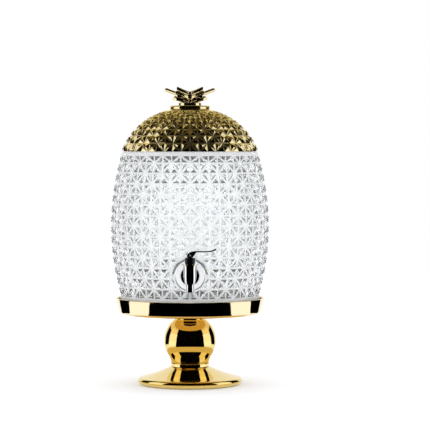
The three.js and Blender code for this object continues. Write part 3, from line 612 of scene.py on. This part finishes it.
def lid_mould(column, row, depth):
    """The place on the dome of a point of the sheet, by its depth as a share of a star's."""
    angle = between(lid_rows, row)
    place = dome_place(angle)
    cell = 2 * math.pi * place.x / columns
    sunk = cell * lid_depth_share * depth * max(0, min(1, fade_rate * (last_row - row)))
    if row > last_row - near:
        sunk = 0
    out, up = (1, 0) if row < near else (math.cos(angle), math.sin(angle))
    turned = math.radians((column + 1) * 360 / columns - 90)
    return cylindrical(place.x - sunk * out, turned, lid_base + place.y - sunk * up)


lemon_gold = plated_gold("lemon_gold", lemon_hex, gold_roughness)
satin_gold = plated_gold("satin_gold", lemon_hex, satin_roughness)
lid = star_sheet("lid_dome", last_row + 2, lemon_gold, satin_gold)
for height, clear_low in ((0, True), (last_row, False)):
    select_all()
    bpy.ops.mesh.bisect(plane_co=(0, height, 0), plane_no=(0, 1, 0), clear_inner=clear_low,
                        clear_outer=not clear_low, threshold=near / 10)
bpy.ops.object.mode_set(mode="OBJECT")
wrap(lid, lid_mould)
for height in (0, lid_rise):
    close_end(lid, lid_base, (0, height))
close_up()
skirt_outer = rim_radius - jar_wall - run_gap - seal_width - seat_gap
skirt_inner = skirt_outer - skirt_wall
cut(lid, turn("skirt", [
    (0, -skirt_height), (skirt_outer + skirt_bead, -skirt_height),
    (skirt_outer + skirt_bead, -skirt_height + skirt_bead), (skirt_outer, -skirt_height + skirt_bead),
    (skirt_outer, lid_wall), (0, lid_wall),
], lid_base), "UNION")
hollow_radius = dome_radius - lid_wall
land_height = lid_rise - land_thickness
skirt_angle = math.degrees(math.acos((skirt_inner - dome_centre.x) / hollow_radius))
land_angle = math.degrees(math.asin((land_height - dome_centre.y) / hollow_radius))
cut(lid, turn("hollow_cutter", [
    (0, -skirt_height - overrun), (skirt_inner, -skirt_height - overrun),
    *arc(dome_centre.x, dome_centre.y, hollow_radius, skirt_angle, land_angle, 24), (0, land_height),
], lid_base))
cut(lid, turn("bore_cutter", [
    (0, 0), (screw_hole, 0), (screw_hole, lid_rise + overrun), (0, lid_rise + overrun),
], lid_base, steps=24))

# The dome's inside is a bare casting, a pale and fully matt grey, so no gold shows through the glass
bare_casting = textured("bare_casting", {"Base Color": linear("E7E7E7"), "Specular IOR Level": 0.0},
                        rough=(0.9, 1.0), rough_grain=(0.7, 3.0))
lid.data.materials.append(bare_casting)
for face in lid.data.polygons:
    outward = face.center - Vector((0, 0, (lid_base - skirt_height) * mm))
    if face.normal.dot(outward) < 0 or face.center.z < lid_base * mm + 10 * same_place:
        face.material_index = len(lid.data.materials) - 1
place_piece(lid, lemon_gold, "lid", "lid", 16)


# Lid seal. A milky silicone ring round the lid's skirt, ribbed so that it slides into the jar's mouth.
seal_outer = rim_radius - jar_wall - run_gap
seal_height = 6.5
seal_rib = 0.35
seal_steps = 6
seal_base = lid_base - skirt_height + skirt_bead + seat_gap
rib_share = seal_height / seal_steps
lid_seal = turn("lid_seal_ring", [
    (seal_outer - seal_width, 0),
    *[(seal_outer - seal_rib * (step % 2), step * rib_share) for step in range(seal_steps + 1)],
    (seal_outer - seal_width, seal_height),
], seal_base, steps=128)


# Silicone rubber: soft, slightly cloudy, with a fine matt grain from its mould
def silicone(name, hex_colour, clearness):
    settings = {"Base Color": linear(hex_colour), "IOR": 1.41, "Transmission Weight": clearness}
    return textured(name, settings, rough=(0.32, 0.5), rough_grain=(0.8, 4.0),
                    bump=(0.2, 0.05), bump_grain=(0.8, 4.0))


clear_silicone = silicone("clear_silicone", "EEF1F0", 0.3)
white_silicone = silicone("white_silicone", "F8F9FA", 0.0)
place_piece(lid_seal, clear_silicone, "lid", "lid_seal", 50)


# Knob. A thick round plate and its neck, turned in one, carry two cast trumpet flowers of six petals,
# set in a V, with a round rod standing out of each. All of it has the lid's lemon gold.
knob_base_height = lid_base + lid_rise + seat_gap
knob_flange_radius = 29.2
knob_flange_height = 6.9
knob_flange_round = 2.9
knob_neck_radius = 16.6
knob_neck_height = 4.2
knob_neck_round = 0.9
screw_socket = 6.8
flange_centre = knob_flange_radius - knob_flange_round
neck_top = knob_flange_height + knob_neck_height
knob_plate = turn("knob_plate", [
    (0, screw_socket), (screw_hole, screw_socket), (screw_hole, 0), (flange_centre, 0),
    *arc(flange_centre, knob_flange_round, knob_flange_round, -90, 0, 10),
    *arc(flange_centre, knob_flange_height - knob_flange_round, knob_flange_round, 0, 90, 10),
    (knob_neck_radius, knob_flange_height),
    *arc(knob_neck_radius - knob_neck_round, neck_top - knob_neck_round, knob_neck_round, 0, 90, 6),
    (0, neck_top),
], knob_base_height, steps=128)
place_piece(knob_plate, lemon_gold, "lid", "knob_base")

petals = 6
blossom_tilt = 20.4
blossom_radius = 11
blossom_reach = 21.2
blossom_tail = 7
blossom_mouth = 9
blossom_wall = 1.8
blossom_axis = 6
petal_tip = 2
petal_tip_start = 0.7  # share of the reach from which the tips lengthen
petal_depth = 0.22
petal_round = 1.4
flower_foot = 0.97  # share of its radius
flower_foot_step = 0.5
flower_waist = [(0.93, 0.3), (0.92, 0.45)]  # shares of its radius and its reach
flower_flare = [(0.925, 0.65), (0.95, 0.8), (0.985, 0.94)]
flower_throat = [(0.8, 0.3), (0.62, 0.65), (0.5, 1)]  # shares of the mouth's radius and depth
flower_core = 0.8  # share of its radius within which the lobes fade
flower_gap = 0.04  # they nearly touch, so the slit between them is dark
flower_back_round = 9  # they round off towards each other over this length
flower_back_share = 0.6  # and lose this much of their depth
flower_back_power = 1.2
flower_slit = 1.6  # half the width of the groove in which they end
flower_slit_share = 0.8
stamen_radius = 2.6
stamen_length = 26


def lobed_flower(name):
    """A trumpet along Z whose rings are full at the petals' middles and drawn in between them."""
    inner = blossom_radius - blossom_wall
    foot = blossom_radius * flower_foot
    side = [(blossom_radius * out, blossom_reach * along) for out, along in flower_waist + flower_flare]
    outline = [
        (0, -blossom_tail), (blossom_radius, -blossom_tail), (foot, 0),
        *curve((foot, flower_foot_step), side[0], side[1], 14), *side[2:],
        (blossom_radius, blossom_reach - petal_round / 2),
        (blossom_radius - petal_round / 2, blossom_reach),
        (blossom_radius - petal_round, blossom_reach - petal_round / 2),
        *[(inner * out, blossom_reach - blossom_mouth * deep) for out, deep in flower_throat],
        (0, blossom_reach - blossom_mouth),
    ]
    flower = turn(name, outline, steps=96)
    for vertex in flower.data.vertices:
        place = vertex.co / mm
        angle = math.atan2(place.y, place.x)
        fullness = abs(math.sin(petals / 2 * angle))
        along = min(1, max(0, place.z / blossom_reach))
        within = min(1, place.xy.length / (blossom_radius * flower_core))
        lobe = petal_depth * (0.5 + 0.5 * min(1, max(0, 1 + place.z / blossom_tail))) * within
        vertex.co.xy *= 1 - lobe * (1 - fullness)
        lengthening = max(0, (along - petal_tip_start) / (1 - petal_tip_start)) ** 2
        vertex.co.z += petal_tip * mm * fullness * lengthening * within
    return flower


def lay_along(piece, start, side):
    """Turns a piece from along Z to a blossom's tilted axis, on one side of the knob."""
    along = Matrix(((0, 0, 1, 0), (0, -1, 0, 0), (1, 0, 0, 0), (0, 0, 0, 1)))
    lean = Matrix.Rotation(math.radians(-blossom_tilt), 4, "Y")
    facing = Matrix.Rotation(math.pi if side < 0 else 0, 4, "Z")
    height = knob_base_height + neck_top + blossom_axis
    raised = Matrix.Translation((0, 0, height * mm))
    piece.data.transform(raised @ facing @ lean @ along @ Matrix.Translation((0, 0, start * mm)))


def slice_off(piece, place, direction):
    """Cuts off what lies behind a plane and closes the piece there."""
    pick(piece)
    select_all()
    bpy.ops.mesh.bisect(plane_co=place, plane_no=direction, use_fill=True, clear_inner=True)
    bpy.ops.object.mode_set(mode="OBJECT")


for name, side in (("left", -1), ("right", 1)):
    flower = lobed_flower(f"{name}_flower")
    lay_along(flower, 0, side)
    slice_off(flower, (side * flower_gap / 2 * mm, 0, 0), (side, 0, 0))
    slice_off(flower, (0, 0, (knob_base_height + neck_top + seat_gap) * mm), (0, 0, 1))
    for vertex in flower.data.vertices:
        nearness = max(0, 1 - abs(vertex.co.x) / (flower_back_round * mm))
        groove = max(0, 1 - abs(vertex.co.x) / (flower_slit * mm))
        depth_left = 1 - flower_back_share * nearness ** flower_back_power
        vertex.co.y *= depth_left * (1 - flower_slit_share * groove)
    place_piece(flower, lemon_gold, "lid", f"{name}_blossom", 40)
    rod = turn(f"{name}_rod", [
        (0, 0), (stamen_radius, 0),
        *arc(0, stamen_length - stamen_radius, stamen_radius, 0, 90, 10),
    ], steps=48)
    lay_along(rod, blossom_reach - blossom_mouth + seat_gap, side)
    place_piece(rod, lemon_gold, "lid", f"{name}_stamen")


# Tap. A chrome-plated brass casting: an upright barrel that tapers to the spout, and a shank that
# goes through the glass. A domed white flange and a white washer seal it outside, a soft washer within.
barrel_forward = 28.5
spout_drop = 21
tap_reach = boss_face + barrel_forward
spout_end = tap_height - spout_drop
barrel_height = 39
barrel_radius = 9.1
barrel_lip = 11.3
barrel_lip_height = 0.7
barrel_flare = 3.8
taper_end = 10.5
taper_bend = 12.8
taper_bend_radius = 8.2
taper_top = 25
spout_radius = 5.6
spout_bore = 3.6
spout_round = 0.6
barrel_bore = 6.5
seat_height = 15.3
neck_radius = 7
shoulder_radius = 13.2
shoulder_thickness = 3
shoulder_bevel = 0.8
flange_radius = 16
flange_thickness = 2.2
flange_round = 2.1
washer_radius = 20
washer_thickness = 2
washer_edge = 0.4
inner_washer_thickness = 2.5
nut_across = 24
nut_thickness = 6
shank_tail = 3
shank_bore = 4
washer_face = boss_face + seat_gap
flange_face = washer_face + washer_thickness + seat_gap
shoulder_face = flange_face + flange_thickness + seat_gap
inner_washer_face = inner_face + spot_face - seat_gap
nut_face = inner_washer_face - inner_washer_thickness - seat_gap
shank_end = nut_face - nut_thickness - shank_tail
tap_corner = Matrix.Translation(Vector((0, -tap_reach, spout_end)) * mm)


def on_barrel(name, outline, height=0, steps=96):
    """A turned form that stands on the barrel's axis, by its height above the spout's end."""
    piece = turn(name, outline, height, steps)
    piece.data.transform(tap_corner)
    return piece


lip_base = barrel_height - barrel_lip_height
throat = seat_height - (barrel_bore - spout_bore)
tap = on_barrel("tap_casting", [
    (0, 0), (spout_radius - spout_round, 0),
    *arc(spout_radius - spout_round, spout_round, spout_round, -90, 0, 4),
    *curve((spout_radius, taper_end), (taper_bend_radius, taper_bend), (barrel_radius, taper_top), 20),
    *curve((barrel_radius, lip_base - barrel_flare), (barrel_radius, lip_base),
           (barrel_lip, lip_base), 8),
    (barrel_lip, barrel_height), (0, barrel_height),
])
cut(tap, along_tap("shank", [
    (0, shank_end), (shank_radius, shank_end), (shank_radius, shoulder_face),
    (shoulder_radius, shoulder_face),
    *arc(shoulder_radius - shoulder_bevel, shoulder_face + shoulder_thickness - shoulder_bevel,
         shoulder_bevel, 0, 90, 5),
    (neck_radius, shoulder_face + shoulder_thickness), (neck_radius, tap_reach), (0, tap_reach),
]), "UNION")
cut(tap, plug("inlet_cutter", shank_end - overrun, tap_reach, shank_bore, 40))
cut(tap, on_barrel("chamber_cutter", [
    (0, -overrun), (spout_bore, -overrun), (spout_bore, throat), (barrel_bore, seat_height),
    (barrel_bore, barrel_height + overrun), (0, barrel_height + overrun),
]))

# Chrome plate: a grey mirror with the slight wave of a polished casting
chrome = textured("chrome_plate", {"Base Color": linear("E6E6E6"), "Metallic": 1.0},
                  rough=(0.02, 0.07), rough_grain=(5, 1.0), bump=(0.05, 0.1), bump_grain=(5, 1.0))
place_piece(tap, chrome, "jar", "tap_body")


def tap_ring(name, bore, radius, face, thickness, edge_round, steps=96):
    """A ring round the shank that stands forward from a face, with a rounded front edge."""
    return along_tap(name, [
        (bore, face), (radius, face),
        *arc(radius - edge_round, face + thickness - edge_round, edge_round, 0, 90, 6),
        (bore, face + thickness),
    ], steps)


# Moulded plastic: an even colour under a skin that is smooth in some places and duller in others
def moulded_plastic(name, hex_colour, roughness, ripple):
    return textured(name, {"Base Color": linear(hex_colour), "IOR": 1.38},
                    rough=(roughness * 0.7, roughness * 1.3), rough_grain=(4, 3.0),
                    bump=(ripple, 0.04), bump_grain=(0.5, 2.0))


white_plastic = moulded_plastic("white_plastic", "F4F5F6", roughness=0.3, ripple=0.2)
ring_bore = shank_radius + run_gap
flange = tap_ring("tap_escutcheon", ring_bore, flange_radius, flange_face, flange_thickness, flange_round)
white_ring = tap_ring("outer_seal", ring_bore, washer_radius, washer_face, washer_thickness, washer_edge)
clear_ring = tap_ring("inner_seal", ring_bore, inner_washer_radius,
                      inner_washer_face - inner_washer_thickness, inner_washer_thickness, washer_edge)
for piece, material, slot, node in ((flange, white_plastic, "white_plastic", "tap_flange"),
                                    (white_ring, white_silicone, "white_silicone", "outer_washer"),
                                    (clear_ring, clear_silicone, "clear_silicone", "inner_washer")):
    place_piece(piece, material, "jar", node)


# Back nut. A moulded white nut whose hexagon is chamfered front and back, tightened inside the jar.
nut_corner = nut_across / 2 / math.cos(math.pi / 6)
nut_chamfer = 1.1
nut_flat = nut_across / 2 - 0.2  # radius of the flat that is left on either side
nut_rim = nut_flat + nut_chamfer * 1.7
nut_back = nut_face - nut_thickness
nut = tap_ring("back_nut_hexagon", ring_bore, nut_corner, nut_back, nut_thickness, 0, 6)
cut(nut, along_tap("nut_chamfers", [
    (0, nut_back), (nut_flat, nut_back), (nut_rim, nut_back + nut_chamfer),
    (nut_rim, nut_face - nut_chamfer), (nut_flat, nut_face), (0, nut_face),
]), "INTERSECT")
cut(nut, plug("nut_bore", nut_back - overrun, nut_face + overrun, ring_bore))
place_piece(nut, white_plastic, "jar", "back_nut", 20)


# Bonnet and lever. Glossy black plastic: a screw cap that closes the barrel, and a swan-necked
# lever whose forked heel straddles the valve's stem and rolls on the cap when its tip is pressed.
bonnet_radius = 7.05
bonnet_height = 8.2
bonnet_bevel = 0.8
bonnet_spigot = 7
stem_hole = 2.3
bonnet_base = barrel_height + seat_gap
spigot_radius = barrel_bore - run_gap
bonnet = on_barrel("bonnet_cap", [
    (stem_hole, -bonnet_spigot), (spigot_radius, -bonnet_spigot), (spigot_radius, 0),
    (bonnet_radius - bonnet_bevel / 2, 0), (bonnet_radius, bonnet_bevel),
    *arc(bonnet_radius - bonnet_bevel, bonnet_height - bonnet_bevel, bonnet_bevel, 0, 90, 5),
    (stem_hole, bonnet_height),
], bonnet_base, 64)
black_plastic = moulded_plastic("black_plastic", "050506", roughness=0.06, ripple=0.03)
place_piece(bonnet, black_plastic, "jar", "bonnet")

# The lever's side, from its pin: heel, root of the blade, blade, tip, and back over the swan neck
pin_rise = 3.2
heel_back, heel_front = -4.5, 3.7
lever_root = 8.4
nape = (-1.2, 3.69)
nape_bend = (2.07, 1.46)
lever_length = 36
lever_width = 9
lever_rise = 5.9
lever_blade = 1.7
lever_tip_rise = 3.3
lever_tip_length = 13
heel_base = seat_gap - pin_rise
blade_under = lever_rise - lever_blade
bend_start = lever_length - lever_tip_length
bend_middle = bend_start + lever_tip_length / 2
lever_side = [
    (heel_back, heel_base), (heel_front, heel_base),
    *curve((heel_front, heel_base), ((heel_front + lever_root) / 2, 0), (lever_root, blade_under), 6)[1:],
    *curve((bend_start, blade_under), (bend_middle, blade_under),
           (lever_length, blade_under + lever_tip_rise), 6),
    *curve((lever_length - lever_blade / 2, lever_rise + lever_tip_rise), (bend_middle, lever_rise),
           (bend_start, lever_rise), 6),
    *curve((lever_root, lever_rise), (nape_bend[0], lever_rise), nape, 6),
    *curve(nape, (heel_back, nape_bend[1]), (heel_back, heel_base), 6)[1:-1],
]
tang_thickness = 4
tang_radius = 2.1
pin_hole = 1.3
lever_edge = 0.45


def side_blank(name, outline, width):
    """A flat form cut to an outline in the X-Z plane and extruded along Y, centred."""
    piece = draw(name, [Vector((x, -width / 2, z)) * mm for x, z in outline])
    select_all()
    bpy.ops.mesh.edge_face_add()
    bpy.ops.mesh.extrude_region_move(TRANSFORM_OT_translate={"value": (0, width * mm, 0)})
    close_up()
    return piece


lever = side_blank("lever_arm", lever_side, lever_width)
modify(lever, "BEVEL", width=lever_edge * mm, segments=3, limit_method="ANGLE",
       angle_limit=math.radians(40), use_clamp_overlap=True)
fork_gap = tang_radius + run_gap
cut(lever, side_blank("fork_cutter", [
    (-fork_gap, -pin_rise - overrun), (lever_root, -pin_rise - overrun),
    (lever_root, fork_gap), (-fork_gap, fork_gap),
], tang_thickness + 2 * run_gap))
pin_cutter = turn("pin_cutter", [(0, -lever_width), (pin_hole, -lever_width),
                                 (pin_hole, lever_width), (0, lever_width)], steps=24)
pin_cutter.data.transform(Matrix.Rotation(math.radians(90), 4, "X"))
cut(lever, pin_cutter)
pin_height = spout_end + bonnet_base + bonnet_height + pin_rise
lever.data.transform(Matrix.Translation(Vector((0, -tap_reach, pin_height)) * mm))
place_piece(lever, black_plastic, "lever", "lever", 35)


# Jar pad. A milky silicone disc with rounded edges under the glass, open round the tie bolt's head.
pad_base = tray_base + tray_sheet + seat_gap
pad_radius = tray_lower_radius - 15  # clear of the tray's round corner
pad_hole = 9.3
pad_edge = 0.6
pad = turn("jar_pad_disc", [
    (pad_hole, 0), *arc(pad_radius - pad_edge, pad_edge, pad_edge, -90, 0, 4),
    *arc(pad_radius - pad_edge, pad_thickness - pad_edge, pad_edge, 0, 90, 4),
    (pad_hole, pad_thickness),
], pad_base, steps=128)
place_piece(pad, clear_silicone, "stand", "jar_pad")


# Valve spring. Steel wire wound in four turns, zinc plated, between the cap and the valve's cup. It
# shortens as the cup rises.
spring_turns = 4
spring_wire = 0.9
spring_coil_radius = 3.3
spring_length = 10.5
spring_top = bonnet_base - bonnet_spigot - seat_gap
bpy.ops.mesh.primitive_circle_add(vertices=12, radius=spring_wire / 2 * mm)
spring = bpy.context.object
spring.name = spring.data.name = "wound_spring"
to_coil = Matrix.Translation((spring_coil_radius * mm, 0, 0))
spring.data.transform(to_coil @ Matrix.Rotation(math.pi / 2, 4, "X"))
modify(spring, "SCREW", iterations=spring_turns, steps=24, render_steps=24,
       screw_offset=(spring_length - spring_wire) / spring_turns * mm)
select_all()
bpy.ops.mesh.remove_doubles(threshold=same_place)
bpy.ops.mesh.fill_holes(sides=0)
close_up()
spring_start = (spring_top - spring_length + spring_wire / 2) * mm
spring.data.transform(tap_corner @ Matrix.Translation((0, 0, spring_start)))

# Zinc plate: a dull bluish metal with a faint spangle
spangle = (2.5, 0.0, "TexVoronoi", "Distance")
zinc = textured("zinc_plate", {"Base Color": linear("B9BDC3"), "Metallic": 1.0},
                rough=(0.28, 0.42), rough_grain=spangle, bump=(0.15, 0.05), bump_grain=spangle)
place_piece(spring, zinc, "jar", "valve_spring")
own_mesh(spring)


# Hidden parts. The steel bolt, its nut and washers, the screw and the pin are bought in, zinc plated,
# and keep their solids, as do the valve's soft cup, its black stem and the foot's felt pad.

# Pressed felt: black fibres that lie in all directions and catch a little light
felt, tree, output, place = new_material("pressed_felt")
fibre = add_node(tree, "TexNoise", {"Scale": 1 / (0.9 * mm), "Detail": 6.0, "Distortion": 1.5},
                 [("Vector", place.outputs["Object"])])
tone = add_node(tree, "MixRGB", {"Color1": linear("151516"), "Color2": linear("2B2B2D")},
                [("Fac", fibre.outputs["Fac"])])
bump = add_node(tree, "Bump", {"Strength": 0.6, "Distance": 0.3 * mm}, [("Height", fibre.outputs["Fac"])])
shader = add_node(tree, "BsdfPrincipled", {"Roughness": 0.95, "Sheen Weight": 0.4},
                  [("Base Color", tone.outputs["Color"]), ("Normal", bump.outputs["Normal"])])
tree.links.new(shader.outputs["BSDF"], output.inputs["Surface"])
kept_nodes = {
    "base_pad": felt, "foot_washer": zinc, "foot_nut": zinc, "tie_bolt": zinc,
    "lever_pin": zinc, "knob_washer": zinc, "knob_screw": zinc, "valve_stem": black_plastic,
    "seat_cup": clear_silicone,
}
for node, material in kept_nodes.items():
    for material_slot in bpy.data.objects[node].material_slots:
        material_slot.material = material


# Studio. A white paper floor in a white room, and cards that only polished pieces mirror: black flags
# in front, on the floor and behind the sides, softboxes and floor boards between them, an amber ring
# under the ball, a board for the knob, a cloudy scrim above and a dim card behind the lid.
world = bpy.data.worlds.new("studio")
bpy.context.scene.world = world
world.use_nodes = True
tree = world.node_tree
tree.nodes.clear()


def reckon(tree, operation, *terms):
    """The result of a Math node whose terms are numbers or sockets."""
    made = add_node(tree, "Math", {"operation": operation})
    for place, term in zip(made.inputs, terms):
        if isinstance(term, (int, float)):
            place.default_value = term
        else:
            tree.links.new(term, place)
    return made.outputs[0]


path = add_node(tree, "LightPath", {})
seen = reckon(tree, "MAXIMUM", path.outputs["Is Camera Ray"], path.outputs["Is Glossy Ray"])
seen = reckon(tree, "MAXIMUM", seen, path.outputs["Is Transmission Ray"])
room = add_node(tree, "Background", {"Color": (1, 1, 1, 1), "Strength": 1.14})
backdrop = add_node(tree, "Background", {"Color": (1, 1, 1, 1), "Strength": 1.0})
both = add_node(tree, "MixShader", {}, [(0, seen), (1, room.outputs[0]), (2, backdrop.outputs[0])])
# What the glass shows of the room gets darker overhead and towards the camera, so that its facets
# stand out
direction = add_node(tree, "TexCoord", {})
upward = add_node(tree, "SeparateXYZ", {}, [(0, direction.outputs["Generated"])])
fall = mapped(tree, upward.outputs["Z"], 1.4, 0.7, from_low=0.25, from_high=0.7)
aside = mapped(tree, upward.outputs["Y"], 0.3, 1.1, from_low=0.2, from_high=0.93)
overhead = add_node(tree, "Background", {"Color": linear("F9FDFF")},
                    [("Strength", reckon(tree, "MULTIPLY", fall, aside))])
through = add_node(tree, "MixShader", {}, [
    (0, path.outputs["Is Transmission Ray"]), (1, both.outputs[0]), (2, overhead.outputs[0])])
add_node(tree, "OutputWorld", {}, [("Surface", through.outputs[0])])
flag_radius = 1.5  # metres, as all lengths of the cards
flag_side, box_side, back_side = 62, 104, 137  # degrees from the camera's side
floor_gap = 0.002
floor_radius = 2.5


def card(name, strength, start, end, inner, outer, colour="FFFFFF"):
    """A card round the dispenser, by azimuth from the camera's side and two (radius, height)."""
    aside = Vector((math.sin(math.radians(start)), -math.cos(math.radians(start)), 0))
    here, there = [aside * radius + Vector((0, 0, height)) for radius, height in (inner, outer)]
    made = draw(name, [here, there])
    select_all()
    bpy.ops.mesh.spin(steps=max(2, int(abs(end - start) / 4)), angle=math.radians(end - start),
                      center=(0, 0, 0), axis=(0, 0, -1))
    bpy.ops.object.mode_set(mode="OBJECT")
    material, tree, output, place = new_material(name)
    glow = add_node(tree, "Emission", {"Color": linear(colour), "Strength": strength})
    tree.links.new(glow.outputs[0], output.inputs["Surface"])
    made.data.materials.append(material)
    made.visible_camera = made.visible_diffuse = made.visible_shadow = made.visible_transmission = False
    return tree, place, glow


card("front_flag", 0.0, -flag_side, flag_side, (flag_radius, floor_gap), (flag_radius, 3.0))
card("front_floor_flag", 0.0, -flag_side, flag_side, (0.16, floor_gap), (flag_radius, floor_gap))
for side, name in ((1, "right"), (-1, "left")):
    low, middle, high = side * flag_side, side * box_side, side * back_side
    card(f"{name}_softbox", 1.25, low, middle, (flag_radius, 0.0), (flag_radius, 0.85))
    card(f"{name}_floor_board", 1.5, low, middle, (0.2, floor_gap), (flag_radius, floor_gap), "F4F6FF")
    card(f"{name}_flag", 0.0, middle, high, (flag_radius, 0.0), (flag_radius, 1.6))
    card(f"{name}_floor_flag", 0.0, middle, high, (0.3, floor_gap), (flag_radius, floor_gap))
card("tap_flag", 0.0, -8, 8, (0.12, 0.128), (0.3, 0.128))

# The knob's board is lit from one side only, at its middle and beside the rods. Between them it is
# dark, for the flowers.
board_strength = 1.2
board_height = 0.4045
dark_centre, dark_half = 0.013, 0.007
tree, place, glow = card("knob_board", 0.0, -85, 85, (0.018, board_height), (0.3, board_height))
across = add_node(tree, "SeparateXYZ", {}, [(0, place.outputs["Object"])])
aside = reckon(tree, "ABSOLUTE", across.outputs["X"])
distance = reckon(tree, "ABSOLUTE", reckon(tree, "SUBTRACT", aside, dark_centre))
beside = reckon(tree, "GREATER_THAN", distance, dark_half)
tree.links.new(reckon(tree, "MULTIPLY", beside, board_strength), glow.inputs["Strength"])
face = add_node(tree, "NewGeometry", {})
clear = add_node(tree, "BsdfTransparent", {})
one_sided = add_node(tree, "MixShader", {},
                     [(0, face.outputs["Backfacing"]), (1, glow.outputs[0]), (2, clear.outputs[0])])
tree.links.new(one_sided.outputs[0], tree.nodes["Material Output"].inputs["Surface"])
card("amber_board", 0.95, -180, 180, (0.08, floor_gap), (0.16, floor_gap), "E9CC87")


def cloud_over(card_nodes, size, low, high, strength):
    """Makes a card cloudy: its strength, a number or a node's socket, varies from low to high."""
    tree, place, glow = card_nodes
    patch = mapped(tree, pattern(tree, place, size, 1.0), low, high, from_low=0.4, from_high=0.6)
    tree.links.new(reckon(tree, "MULTIPLY", patch, strength), glow.inputs["Strength"])


# The ceiling's scrim is nearly black in front and brightens to the back
scrim = card("ceiling_scrim", 0.0, -180, 180, (0.0, 1.6), (flag_radius, 1.6), "E6CB76")
spot = add_node(scrim[0], "SeparateXYZ", {}, [(0, scrim[1].outputs["Object"])])
fade = mapped(scrim[0], spot.outputs["Y"], 0.01, 0.26, from_low=-0.45, from_high=0.9)
cloud_over(scrim, 220, 0.2, 1.8, fade)
back_flag = card("back_flag", 0.0, 115, 245, (0.25, 0.44), (0.25, 0.8), "E6D79A")
cloud_over(back_flag, 50, 0.1, 2.0, 0.62)

bpy.ops.mesh.primitive_circle_add(vertices=96, radius=floor_radius, fill_type="NGON", location=(0, 0, 0))
floor = bpy.context.object
floor.name = "paper_floor"
paper = textured("white_paper", {
    "Base Color": linear("FAFCFF"), "Specular IOR Level": 0.0,
    "Emission Color": (1, 1, 1, 1), "Emission Strength": 0.08,
}, rough=(0.6, 0.8), rough_grain=(2, 2.0))
floor.data.materials.append(paper)

bpy.context.scene.view_settings.view_transform = "Standard"
